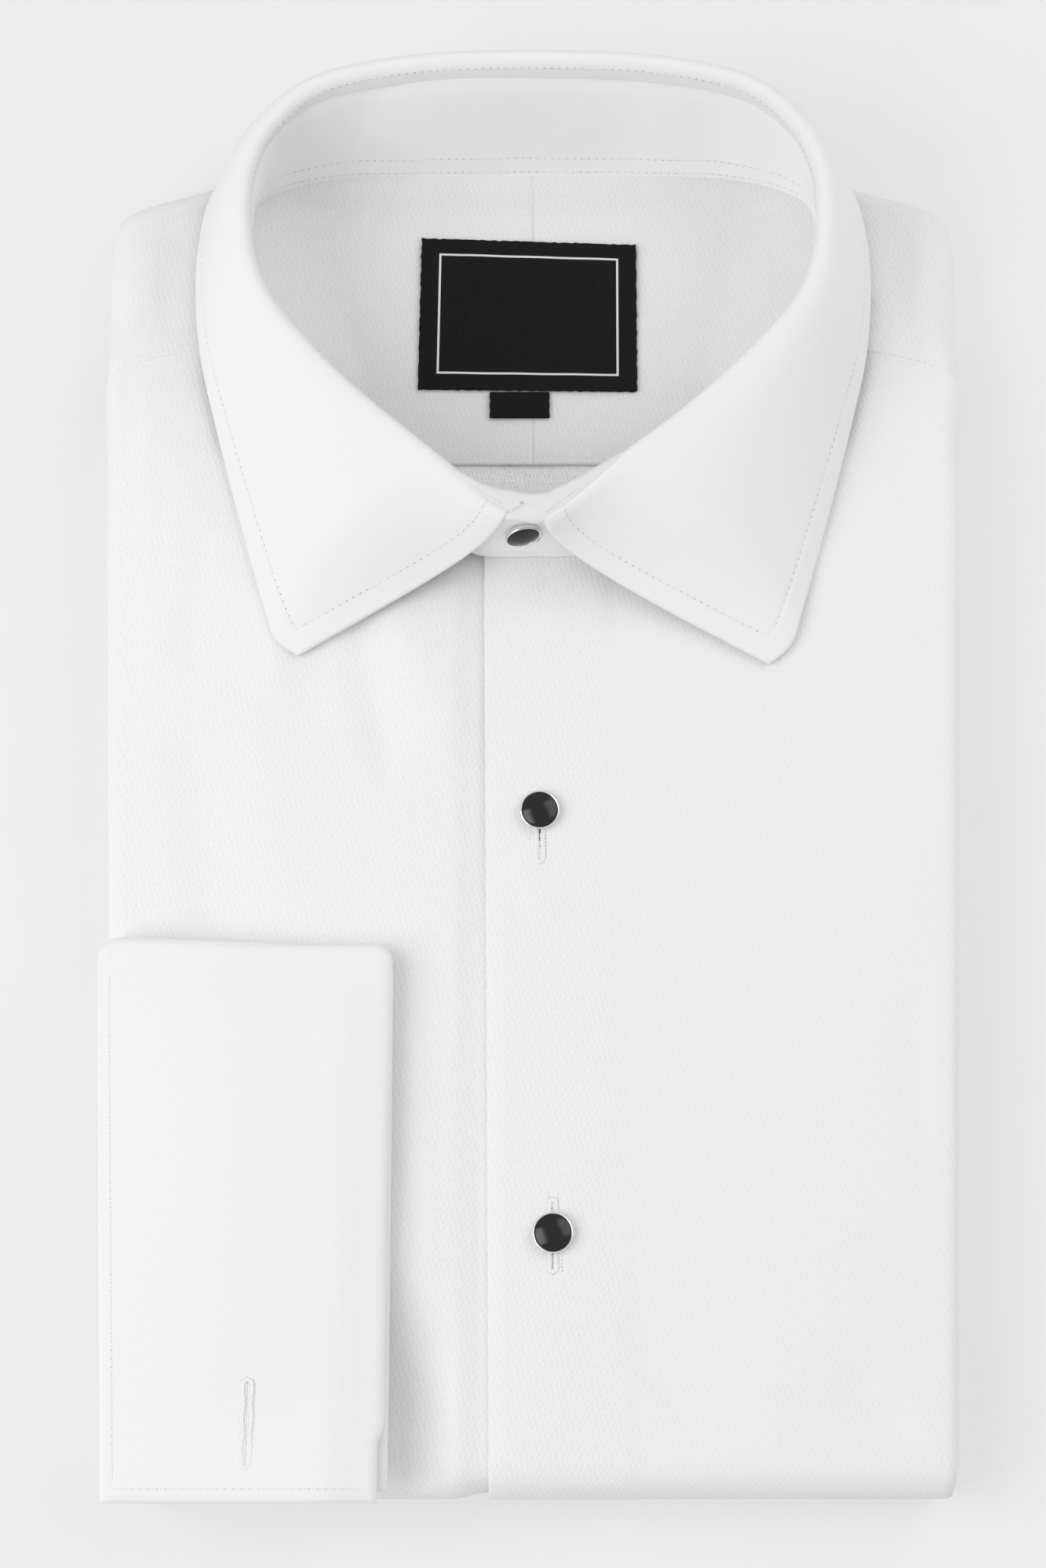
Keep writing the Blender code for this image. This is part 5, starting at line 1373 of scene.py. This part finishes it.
def cuff_right():
    """The cuff: columns across, rows from the bottom edge up, round the fold and down again."""
    below = CUFF_CLOTH / 2
    upper = stations(CUFF_BOTTOM, CUFF_TOP - 8, 2.2, 1.1)[:-3]
    special = np.linspace(CUFF_SLIT_Y[0], CUFF_SLIT_Y[1], 12)
    upper = np.sort(np.concatenate([upper[np.abs(upper[:, None] - special).min(1) > 0.4], special]))
    turn = np.radians(np.arange(90, -91, -10))
    y = np.concatenate([upper, CUFF_TOP - 3.2 + CUFF_TURN * np.cos(turn), upper[::-1]])
    lower_end = CUFF_BOTTOM + 3.0
    y[-len(upper):] = np.maximum(y[-len(upper):], lower_end) - 0.001 * np.arange(len(upper))
    level = np.concatenate([upper * 0 + 1, np.sin(turn), upper * 0 - 1])[:, None]
    left = np.interp(y, (CUFF_BOTTOM, CUFF_TOP), CUFF_LEFT[::-1])[:, None]
    columns, y_down = cuff_columns(left), y[:, None]
    thin = np.interp(columns, CUFF_THINS["x"], CUFF_THINS["share"])
    thin = thin * roundness(columns - left + 0.03, 1.1)
    from_end = upper - upper[0]
    run = np.concatenate([from_end, np.full(len(turn), 50.0), from_end[::-1]])[:, None]
    thin = thin * roundness(run + 0.03, 1.1)
    floor = chest_height(columns, np.maximum(y_down, -160)) + GAP + 0.1
    floor = floor + (SLEEVE_CLOTH + GAP) * ease(-50, -86, columns)
    floor = floor + CUFF_LIFT * ease(-150, -176, y_down) * ease(-84, -45, columns)
    # the upper ply lofts away from the fold, sways a little and has slipped to the left
    on_upper, from_fold = (level + 1) / 2, np.abs(y_down - CUFF_TOP)
    loft = CUFF_LOFT * on_upper * ease(CUFF_RIGHT, CUFF_RIGHT - 14, columns)
    z = floor + below + CUFF_TURN * (1 + level) + loft * ease(0, 24, from_fold)
    wave = np.sin(0.09 * columns + 0.05 * y_down) + np.sin(0.05 * columns - 0.11 * y_down)
    z = z + 0.06 * wave * on_upper * ease(0, 20, from_fold)
    slip = CUFF_SLIP * ease(-66, -50, columns) * (level > 0)
    slip = slip * (0.35 * ease(-40, -120, y_down) + 0.65 * ease(-160, -165, y_down))
    # the two corners of the fold are round, and its left end lies a little further up
    top_y = y_down + 0 * z
    for gap_x, corner in zip((columns - left, CUFF_RIGHT - columns), CUFF_CORNERS):
        missing = corner - np.sqrt(np.maximum(corner**2 - np.maximum(corner - gap_x, 0) ** 2, 0))
        top_y = top_y - missing * ease(CUFF_TOP - 14, CUFF_TOP - 1, y_down)
    top_y = top_y + CUFF_SLANT * ease(-50, -105, columns) * ease(CUFF_TOP - 60, CUFF_TOP, y_down)
    middle = np.stack([columns + slip * np.clip(level, 0, 1), top_y, z], -1)
    turn_y = np.concatenate([upper * 0, np.cos(turn), upper * 0])[:, None]
    normal = np.stack([0 * z, turn_y + 0 * z, level + 0 * z], -1)
    half = (thin * below)[..., None]
    keep = np.ones((len(y) - 1, columns.shape[1] - 1), bool)
    low, high = CUFF_SLIT_Y[0], CUFF_SLIT_Y[1] - 0.1
    in_slit = (y[:-1] >= low - 0.01) & (y[:-1] < high)
    beneath = len(y) // 2
    in_slit[beneath:] = ((y[1:] >= low - 0.05) & (y[1:] < high))[beneath:]
    keep[in_slit, SLIT_COLUMN] = False
    length = travelled(np.concatenate([y_down, level * CUFF_TURN], axis=1))[:, None]
    uv = np.stack([columns, length + 0 * columns], -1)
    face, back = middle + normal * half, middle - normal * half
    piece = cloth_piece("cuff_right_cloth", face, back, uv, PRESSED, keep)
    settle(piece, "cuff_right", middle)
    return face[: len(upper)]


CUFF_FACE = cuff_right()      # of the upper ply


# %% The sleeve's end
def sleeve_right():
    """The sleeve out of the side groove, half round the side fold and flat under the cuff."""
    rim = SLEEVE_CLOTH / 2
    y = stations(-157.0, -47.0, 2.5, rim)[:, None]
    face_z = side_height(y)
    radius = (face_z - CREVICE_TOP) / 2 + GAP + 0.15
    outer = half_width(y) - (face_z - CREVICE_TOP) / 2
    angle = np.radians(np.arange(0, 181, 9))[None]
    flat = np.linspace(-10, -0.6, 8)[None]
    rolled = outer + radius * np.sin(angle)
    x = np.concatenate([outer + flat, rolled, outer - 2.0, outer - 4.0], axis=1)
    flat_z = chest_height(outer + flat, y) + GAP + 0.15
    roll_z = face_z - (face_z - CREVICE_TOP) / 2 + radius * np.cos(angle)
    z = np.concatenate([flat_z, roll_z, roll_z[:, -1:], roll_z[:, -1:]], axis=1)
    inner = np.stack([-x, y + 0 * x, z], -1)
    normal = outward(inner)
    if normal[4, 1, 2] < 0:
        normal = -normal
    along = travelled(inner, axis=1)
    inside = np.minimum(np.minimum(along, along[:, -1:] - along), np.minimum(y - y[0], y[-1] - y))
    full = roundness(inside + 0.04, rim)[..., None]
    face, back = inner + normal * rim * (1 + full), inner + normal * rim * (1 - full)
    uv = np.stack([-along, y + 0 * along], -1)
    piece = cloth_piece("sleeve_right_cloth", face, back, uv, DOBBY)
    settle(piece, "sleeve_right", inner)


sleeve_right()

# %% [markdown]
# ## The woven label and its size tab
#
# A neck label is a ribbon cut and folded under at its ends, sewn down by its edges. Its
# corners aren't quite square and its edges waver where the stitches pull them in.


# %% Label and tab
LABEL_CORNERS = ((-30.9, 111.9), (27.9, 111.2), (28.0, 154.0), (-30.2, 156.0))   # from lower left
WAVER, PUFF = 0.16, 0.1       # of the label's edges and of its face
TAB_CLOTH, TAB_TURN = 0.3, 0.19   # the ribbon, and the radius of its fold


def neck_label():
    """A bilinear patch between four corners, with wavering edges and a pillowed face."""
    u, v = stations(0, 1, 0.02, 0.004)[None], stations(0, 1, 0.03, 0.005)[:, None]
    a, b, c, d = (np.array(corner) for corner in LABEL_CORNERS)
    plan = (((1 - u) * (1 - v))[..., None] * a + (u * (1 - v))[..., None] * b
            + (u * v)[..., None] * c + ((1 - u) * v)[..., None] * d)
    wide, high = LABEL_X[1] - LABEL_X[0], LABEL_Y[1] - LABEL_Y[0]
    near_x = np.exp(-np.minimum(u, 1 - u) * wide / 1.2)
    near_y = np.exp(-np.minimum(v, 1 - v) * high / 1.2)
    plan[..., 0] += near_x * WAVER * np.sin(3.1 * plan[..., 1]) * np.sin(0.7 * plan[..., 1])
    plan[..., 1] += near_y * WAVER * np.sin(2.9 * plan[..., 0]) * np.sin(0.6 * plan[..., 0] + 1)
    from_edge = np.minimum(np.minimum(u, 1 - u) * wide, np.minimum(v, 1 - v) * high)
    full = roundness(from_edge + 0.03, LABEL_THICKNESS / 2)
    bottom = YOKE_FLOOR + GAP
    middle = bottom + LABEL_THICKNESS / 2
    puff = PUFF * ease(0.3, 3, from_edge) + 0.08 * np.sin(0.4 * plan[..., 0] + 0.3 * plan[..., 1])
    face = np.concatenate([plan, (middle + LABEL_THICKNESS / 2 * full + puff)[..., None]], -1)
    back = np.concatenate([plan, (middle - LABEL_THICKNESS / 2 * full)[..., None]], -1)
    uv = np.stack([(u - 0.5) * wide + 0 * v, (v - 0.5) * high + 0 * u], -1)
    piece = cloth_piece("neck_label_cloth", face, back, uv, LABEL_TAFFETA)
    settle(piece, "neck_label", face)


neck_label()


def size_tab():
    """A ribbon folded in half over its lower edge: a long loop of a profile, carried across."""
    straight = stations(TAB_Y[1] - 0.1, TAB_Y[0] + TAB_TURN, 0.8, TAB_CLOTH / 2)[:-4]
    angle = np.radians(np.arange(0, 181, 22.5))
    bend = TAB_Y[0] + TAB_TURN - TAB_TURN * np.sin(angle)
    y = np.concatenate([straight, bend, straight[::-1]])[:, None]
    level = np.concatenate([straight * 0 + 1, np.cos(angle), straight * 0 - 1])[:, None]
    x = stations(*TAB_X, 0.8, TAB_CLOTH / 2)[None]
    z = YOKE_FLOOR + GAP + LABEL_THICKNESS / 2 + level * TAB_TURN
    z = z + (1 + level) * 0.03 * np.sin(0.9 * x + 0.4 * y)
    middle = np.stack([x + 0.08 * np.sin(2.3 * y) * np.sign(x + 3.6), y + 0 * x, z + 0 * x], -1)
    gone = travelled(middle[:, 3])[:, None]
    inside = np.minimum(np.minimum(x - x[:, :1], x[:, -1:] - x), np.minimum(gone, gone[-1] - gone))
    face, back = thicken(middle, TAB_CLOTH, roundness(inside + 0.02, TAB_CLOTH / 2))
    uv = np.stack([x + 0 * gone, gone + 0 * x], -1)
    piece = cloth_piece("size_tab_cloth", face, back, uv, TAB_TAFFETA)
    settle(piece, "size_tab", middle)


size_tab()

# %% [markdown]
# ## The studs
#
# A dress stud is a turned silver cup on a shank, with a flat button behind the cloth and a
# domed enamel face in the cup. Turned things are a profile spun round an axis. The grid
# of radius and height against angle is worked out in one step and then tilted into place.


# %% The studs
def lathe(profile, matrix, place, steps=56):
    """A profile of radius and height spun round Z, closed by small rings at its two ends."""
    profile = np.array(profile, float)
    profile[:, 0] = np.maximum(profile[:, 0], 0.004)
    around = np.arange(steps) * math.tau / steps
    ring = np.stack([profile[:, :1] * np.cos(around), profile[:, :1] * np.sin(around),
                     profile[:, 1:] + 0 * around], -1)
    rows, points = len(profile), ring.reshape(-1, 3)
    k = np.arange(1, steps // 2 - 1)
    cap = np.stack([steps - k, k, k + 1, steps - k - 1], -1)
    far_cap = cap[:, ::-1] + (rows - 1) * steps
    quads = np.concatenate([tube_quads(rows, steps), cap, far_cap])
    return points @ matrix.T + place, quads, points[:, :2]


def turning(tilt, yaw):
    """Rotation by tilt about X and then by yaw about Z."""
    ct, st, cy, sy = math.cos(tilt), math.sin(tilt), math.cos(yaw), math.sin(yaw)
    about_x = np.array([[1, 0, 0], [0, ct, -st], [0, st, ct]])
    return np.array([[cy, -sy, 0], [sy, cy, 0], [0, 0, 1]]) @ about_x


def arc(centre_r, centre_z, radius_r, radius_z, start, end, count):
    """Points on an ellipse's arc, as radius and height."""
    a = np.radians(np.linspace(start, end, count))
    return np.stack([centre_r + radius_r * np.cos(a), centre_z + radius_z * np.sin(a)], -1).tolist()


RIM_WIDTH, CUP_FLOOR, DOME_HEIGHT, DOME_EDGE = 0.5, 0.9, 1.35, 0.28


def setting(radius, grip):
    """Profile of button, shank and cup: up from the back, over the rim bead and in again."""
    shank, (button, thick) = SHANK_DIAMETER / 2, STUD_BACK
    back = [(0, -grip - thick), (button - 0.25, -grip - thick)]
    back += arc(button - 0.15, -grip - thick / 2, 0.15, thick / 2, -70, 70, 5)
    back += [(shank + 0.25, -grip), (shank, -grip + 0.25), (shank, -0.3), (shank + 0.3, 0.0)]
    cup = [(radius * 0.7, 0.0), *arc(radius * 0.7, CUP_FLOOR, radius * 0.3, 0.9, -80, 0, 7)]
    bead = arc(radius - 0.25, 1.35, 0.25, 0.35, 0, 180, 11)
    inside = [(radius - RIM_WIDTH, 1.1), (radius - RIM_WIDTH, CUP_FLOOR), (0, CUP_FLOOR)]
    return back + cup + bead + inside


def enamel(radius):
    """The profile of the enamel: a flat back and a dome, part of a ball through its edge."""
    inner, base = radius - RIM_WIDTH - 0.06, CUP_FLOOR + GAP
    bulge = DOME_HEIGHT - DOME_EDGE
    ball = (inner**2 + bulge**2) / (2 * bulge)
    dome = [(ball * math.sin(a), base + DOME_HEIGHT - ball * (1 - math.cos(a)))
            for a in np.linspace(math.asin(inner / ball), 0, 16)]
    return [(0, base), (inner - 0.1, base), (inner, base + 0.1), *dome]


def stud(name, diameter, grip, place, matrix):
    """The setting with its rim bead, shank and button, and the domed enamel in the cup."""
    pieces = (("setting", setting(diameter / 2, grip), SILVER, "stud_plate"),
              ("enamel", enamel(diameter / 2), ENAMEL, "stud_enamel"))
    for piece, profile, finish, slot in pieces:
        body = make(f"{name}_{piece}_turned", [lathe(profile, matrix, place)], finish)
        settle(body, f"{name}_{piece}")


both_fronts = 2 * FRONT_CLOTH + FACING_EXTRA + 3 * GAP
for number, (stud_x, stud_y, _) in enumerate(FRONT_STUDS, start=1):
    cloth_z = float(chest_height(stud_x, stud_y)) + FACING_EXTRA
    stud(f"stud_{number}", STUD_DIAMETER, both_fronts, (stud_x, stud_y, cloth_z + GAP), np.eye(3))
both_bands = (UNDERLAP_STEP + COLLAR_CLOTH) * math.cos(STAND_LEAN) + BAND_BOW + 2 * GAP
collar_x, collar_z = COLLAR_STUD
rise = collar_z - float(chest_height(0, NECK_FRONT_Y))
in_front = (COLLAR_CLOTH / 2 + GAP) / math.cos(STAND_LEAN)
collar_y = NECK_FRONT_Y + rise * math.tan(STAND_LEAN) - in_front
stud("stud_collar", COLLAR_STUD_DIAMETER, both_bands, (collar_x, collar_y, collar_z),
     turning(math.pi / 2 - STAND_LEAN, COLLAR_STUD_YAW))

# %% [markdown]
# ## Sewing
#
# Topstitching is a row of short threads that dive into the cloth at each end. One stitch
# is a small six-sided spindle on an arch. All of a row's stitches are placed at once along
# a path on the cloth, so a whole seam costs a few thousand triangles.


# %% Rows of stitches
STITCH_LENGTH, STITCH_THICK, STITCH_LIFT = 1.5, 0.11, 0.04
SIX = np.arange(6)


def read_along(path, up, at):
    """Places and unit normals of a path at the given ways along it."""
    gone = travelled(path)
    spot, normal = (np.stack([np.interp(at, gone, grid[:, k]) for k in range(3)], -1)
                    for grid in (path, up))
    return spot, unit(normal)


def repeated(quads, count):
    """The quads of one small body, counted on for each of its copies."""
    size = quads.max() + 1
    return (quads[None] + size * np.arange(count)[:, None, None]).reshape(-1, 4)


def stitch_row(path, up, pitch=2.0):
    """Points and quads of stitches pitch apart along a path, arched along the normals up."""
    centre = (np.arange(int(travelled(path)[-1] / pitch)) + 0.5) * pitch
    t = np.linspace(-0.5, 0.5, 6)
    at = centre[:, None] + t * STITCH_LENGTH
    spot, normal = read_along(path, up, at)
    beside = np.cross(unit(np.gradient(spot, axis=1)), normal)
    arch = (1 - (2 * t) ** 2)[None, :, None]
    spot = spot + normal * (STITCH_LIFT * 2 * arch - STITCH_LIFT)
    around = SIX * math.tau / 6
    width = STITCH_THICK * np.sqrt(0.12 + 0.88 * arch)[..., None]
    ring = spot[:, :, None] + width * (np.cos(around)[:, None] * beside[:, :, None]
                                       + 0.8 * np.sin(around)[:, None] * normal[:, :, None])
    caps = [(0, 1, 2, 3), (0, 3, 4, 5), (33, 32, 31, 30), (35, 34, 33, 30)]
    quads = repeated(np.concatenate([tube_quads(6, 6), caps]), len(centre))
    uv = np.stack([at[:, :, None] + 0 * around, 0.1 * around + 0 * at[:, :, None]], -1)
    return ring.reshape(-1, 3), quads, uv.reshape(-1, 2)


def needle_holes(path, up, pitch=2.0, radius=0.17):
    """Six-sided plates of painted shade, pitch apart where the needle went in, each a bit
    different.
    """
    at = np.arange(int(travelled(path)[-1] / pitch)) * pitch + 0.04
    spot, normal = read_along(path, up, at)
    _, ahead = read_along(path, np.gradient(path, axis=0), at)
    beside = np.cross(ahead, normal)
    around = SIX[:, None] * math.tau / 6
    size = radius * (0.7 + 0.6 * np.abs(np.sin(12.9 * np.arange(len(at)))))[:, None, None]
    long_way, short_way = 1.25 * np.cos(around) * ahead[:, None], np.sin(around) * beside[:, None]
    ring = spot[:, None] + size * (long_way + short_way)
    ring = np.concatenate([ring + 0.05 * normal[:, None], ring - 0.2 * normal[:, None]], axis=1)
    sides = np.stack([SIX, SIX + 6, (SIX + 1) % 6 + 6, (SIX + 1) % 6], -1)
    caps = [(0, 1, 2, 3), (0, 3, 4, 5), (9, 8, 7, 6), (11, 10, 9, 6)]
    quads = repeated(np.concatenate([sides, caps]), len(at))
    return ring.reshape(-1, 3), quads, np.zeros((len(at) * 12, 2))


def crossing(field, level):
    """For each column, the fractional row where a rising field first reaches level."""
    above = field >= level
    row = np.maximum(above.argmax(axis=0), 1)
    column = np.arange(field.shape[1])
    low, high = field[row - 1, column], field[row, column]
    return row - 1 + np.clip((level - low) / np.maximum(high - low, 1e-6), 0, 1)


def sample(grid, row, column):
    """A grid of points or normals read at fractional rows and columns."""
    r = np.clip(np.floor(row).astype(int), 0, grid.shape[0] - 2)
    c = np.clip(np.floor(column).astype(int), 0, grid.shape[1] - 2)
    tr, tc = (row - r)[:, None], (column - c)[:, None]
    return ((1 - tr) * (1 - tc) * grid[r, c] + (1 - tr) * tc * grid[r, c + 1]
            + tr * (1 - tc) * grid[r + 1, c] + tr * tc * grid[r + 1, c + 1])


HOLES = []                    # the needle holes of all rows, gathered as the rows are made


def row_on(grid, normals, row, column, **options):
    """Stitches and needle holes along fractional rows and columns of a grid."""
    path, up = sample(grid, row, column), sample(normals, row, column)
    HOLES.append(needle_holes(path, up, **options))
    return stitch_row(path, up)


# %% Stitches on the collar leaf
FIRST_COLUMN, JOINT_COLUMN = 12, 6.0
END_ROWS = 46                 # the leaf's rows at each end in which its front edge is sewn


def leaf_stitches():
    """Down each front edge, round the outer edge, and over the joint at the back of the neck."""
    normals = outward(LEAF_FACE)
    from_edge = LEAF_ALONG[:, -1:] - LEAF_ALONG
    rows, columns = LEAF_ALONG.shape
    parts, stops = [], []
    for flip in (False, True):
        grid = LEAF_FACE[::-1] if flip else LEAF_FACE
        away = np.linalg.norm(grid[:END_ROWS, :, None] - grid[0], axis=-1).min(-1)
        row = crossing(away, LEAF_STITCH)
        column = np.arange(columns, dtype=float)
        use = (column >= FIRST_COLUMN) & (from_edge[5] > LEAF_STITCH) & (row < END_ROWS - 1)
        row, column = row[use], column[use]
        stops.append(row[-1])
        parts.append(row_on(LEAF_FACE, normals, rows - 1 - row if flip else row, column))
    row = np.arange(stops[0], rows - 1 - stops[1], 0.5)
    column = columns - 1 - crossing(from_edge.T[::-1], LEAF_STITCH)
    parts.append(row_on(LEAF_FACE, normals, row, np.interp(row, np.arange(rows), column)))
    row = np.arange(rows * 0.3, rows * 0.7, 0.5)
    parts.append(row_on(LEAF_FACE, normals, row, 0 * row + JOINT_COLUMN))
    return parts


collar_parts = leaf_stitches()


# %% Stitches on the stand
def stand_stitches():
    """Two rows on the inside of the stand, 2.4 and 7.4 mm above its seam."""
    middle = len(STAND) // 2
    inner = STAND - STAND_OFFSET * np.sign(STAND_OFFSET[middle, 5, 1])
    normals = outward(inner)
    normals = -normals * np.sign(normals[middle, 10, 1])
    rows = np.arange(35.0, len(inner) - 35.0, 0.5)
    height = np.linalg.norm(STAND[:, -1] - STAND[:, 0], axis=-1)
    parts = []
    for up in (2.4, 7.4):
        share = up / np.interp(rows, np.arange(len(height)), height)
        at = np.interp(share, STAND_SHARE, np.arange(len(STAND_SHARE)))
        parts.append(row_on(inner, normals, rows, at))
    return parts


collar_parts += stand_stitches()
settle(make("collar_topstitching", collar_parts, THREAD), None)


# %% Stitches on the cuff
CUFF_STITCH = 3.1             # in from its edges
UP = np.array((0, 0, 1.0))


def cuff_stitches():
    """One row down the open left edge and one along the bottom, on the upper ply."""
    up = np.zeros_like(CUFF_FACE) + UP
    rows, columns = (np.arange(count, dtype=float) for count in CUFF_FACE.shape[:2])
    in_x = np.abs(CUFF_FACE[:, :, 0] - CUFF_FACE[:, :1, 0])
    column = crossing(in_x.T, CUFF_STITCH)
    keep = CUFF_FACE[:, 0, 1] > CUFF_BOTTOM + CUFF_STITCH + 0.3
    parts = [row_on(CUFF_FACE, up, rows[keep], column[keep], radius=0.12)]
    row = crossing(CUFF_FACE[:, :, 1] - CUFF_BOTTOM, CUFF_STITCH + 0.1)
    keep = (in_x[5] > CUFF_STITCH) & (columns < len(columns) - 4)
    parts.append(row_on(CUFF_FACE, up, row[keep], columns[keep], radius=0.12))
    return parts


settle(make("cuff_topstitching", cuff_stitches(), THREAD), None)


# %% Stitches on the yoke seams
YOKE_STITCH = 1.2


def yoke_stitches(face):
    """A row 1.2 mm above the seam of front and yoke, on the yoke's face."""
    row = crossing(np.linalg.norm(face - face[:1], axis=-1), YOKE_STITCH)
    column = np.arange(face.shape[1], dtype=float)
    use = (column > 1) & (column < face.shape[1] - 14)
    return row_on(face, np.zeros_like(face) + UP, row[use], column[use], radius=0.11)


# %% [markdown]
# ## Buttonholes
#
# A buttonhole is bound with purl: close stitches over a thread, so its edge is a low ribbed
# cord. The cord is a six-sided tube whose thickness swells and shrinks from stitch to
# stitch, in a loop round the slit. The needle leaves more holes beside the slits and in
# broken lines at the front of the neck, each given by its place, and they lie on the
# highest cloth that is there.

# %% Purl round the slits
PLACKET_PURL, CUFF_PURL = (0.85, 0.72, 0.2), (1.0, 0.62, 0.22)   # half loop, half cord, height


def purl(x, ends, sizes, height):
    """A loop of purl round a slit: a flat six-sided cord, ribbed stitch by stitch."""
    half, wide, high = sizes
    low, top = min(ends) + half, max(ends) - half
    side = np.linspace(low, top, int((top - low) / 0.2))
    turn = np.linspace(0, math.pi, 12)[1:-1]
    across, along = half * np.cos(turn), half * np.sin(turn)
    plan_x = np.concatenate([0 * side + half, across, 0 * side - half, -across])
    plan_y = np.concatenate([side, top + along, side[::-1], low - along])
    plan_x = plan_x * (1 + 0.1 * np.sin(0.9 * plan_y))
    path = np.stack([x + plan_x, plan_y, height(x + plan_x, plan_y)], -1)
    beside = np.cross(unit(np.roll(path, -1, axis=0) - np.roll(path, 1, axis=0)), UP)
    stitch, around = np.arange(len(path)), SIX[:, None] * math.tau / 6
    rib = 1 + 0.16 * np.sin(stitch * 1.9) + 0.12 * np.sin(stitch * 0.71)
    section = wide * np.cos(around) * beside[:, None] + high * np.sin(around) * UP
    points = (path[:, None] + rib[:, None, None] * section).reshape(-1, 3)
    return points, tube_quads(len(path), 6, closed=True), points[:, :2]


def lap_height(x, y):
    """The over-lap's face where the buttonholes are."""
    return chest_height(x, y) + FACING_EXTRA + creases(x, y)


def cuff_height(x, y):
    """The cuff's face along its slit."""
    line = CUFF_FACE[:, SLIT_COLUMN - 2]
    return np.interp(y, line[:, 1], line[:, 2]) + 0 * x


placket_loops = [purl(stud_x, ends, PLACKET_PURL, lap_height)
                 for (stud_x, _, _), ends in zip(FRONT_STUDS, SLOTS)]

# %% Needle holes beside the purl and at the neck
# x, upper and lower end of each short row on the over-lap
PURL_DOTS = table(
    "x top bottom",
    (-1.1, -1.9, -3.8), (1.8, -1.9, -3.8), (3.1, -13.3, -20.9), (-0.9, -13.3, -16.4),
    (3.6, -104.4, -109.4), (5.9, -104.4, -109.4), (4.1, -119.6, -124.5), (6.8, -119.6, -124.5),
)
# broken lines at the front of the neck: places, pitch and radius; the last is one larger plate of
# painted shade just above the collar stud
NECK_ROWS = (
    (((-17.0, 71.3), (-13.2, 68.8), (-7.5, 65.4)), 0.7, 0.11),
    (((1.6, 62.2), (6.2, 65.5), (11.7, 69.9), (16.4, 73.5)), 0.7, 0.11),
    (((-6.2, 63.8), (-2.6, 65.3), (1.7, 67.4)), 0.45, 0.1),
    (((-3.1, 65.8), (-2.1, 65.8)), 0.9, 0.6),
)
NECK_STEPS, NECK_UP = 40, (0, -0.3, 0.95)
NECK_FACE = np.concatenate([LEAF_FACE.reshape(-1, 3), *(rolled_lip(lip)[0]
                                                        for lip in (UNDER_LIP, OVER_LIP))])


def height_on(points, x, y):
    """Height of the highest face near each place: a mean weighted by exp(-distance^2 / 0.3)."""
    far = (points[:, 0] - x[:, None]) ** 2 + (points[:, 1] - y[:, None]) ** 2
    highest = np.where(far < 1.5, points[:, 2], 0).max(1, keepdims=True)
    weight = np.exp(-far / 0.3) * (points[:, 2] > highest - 0.7)
    return (weight * points[:, 2]).sum(1) / weight.sum(1)


for x, top, bottom in zip(*PURL_DOTS.values()):
    plan = np.array([(x, top), (x, bottom)])
    path = np.concatenate([plan, lap_height(plan[:, :1], plan[:, 1:])], axis=1)
    HOLES.append(needle_holes(path, np.array([UP, UP]), pitch=0.9, radius=0.15))
for places, pitch, radius in NECK_ROWS:
    at = np.linspace(0, len(places) - 1, NECK_STEPS)
    row_x, row_y = (np.interp(at, np.arange(len(places)), column) for column in zip(*places))
    path = np.stack([row_x, row_y, height_on(NECK_FACE, row_x, row_y)], -1)
    HOLES.append(needle_holes(path, np.array([NECK_UP] * NECK_STEPS), pitch=pitch, radius=radius))

# %% The sewn pieces
settle(make("placket_buttonhole_purl", placket_loops, THREAD), None)
cuff_loop = purl(CUFF_SLIT_X, CUFF_SLIT_Y, CUFF_PURL, cuff_height)
settle(make("cuff_buttonhole_purl", [cuff_loop], THREAD), None)
yoke_rows = [yoke_stitches(YOKE_LEFT), yoke_stitches(YOKE_RIGHT)]
settle(make("yoke_topstitching", yoke_rows, THREAD), None)
settle(make("needle_holes", HOLES, HOLE), None)
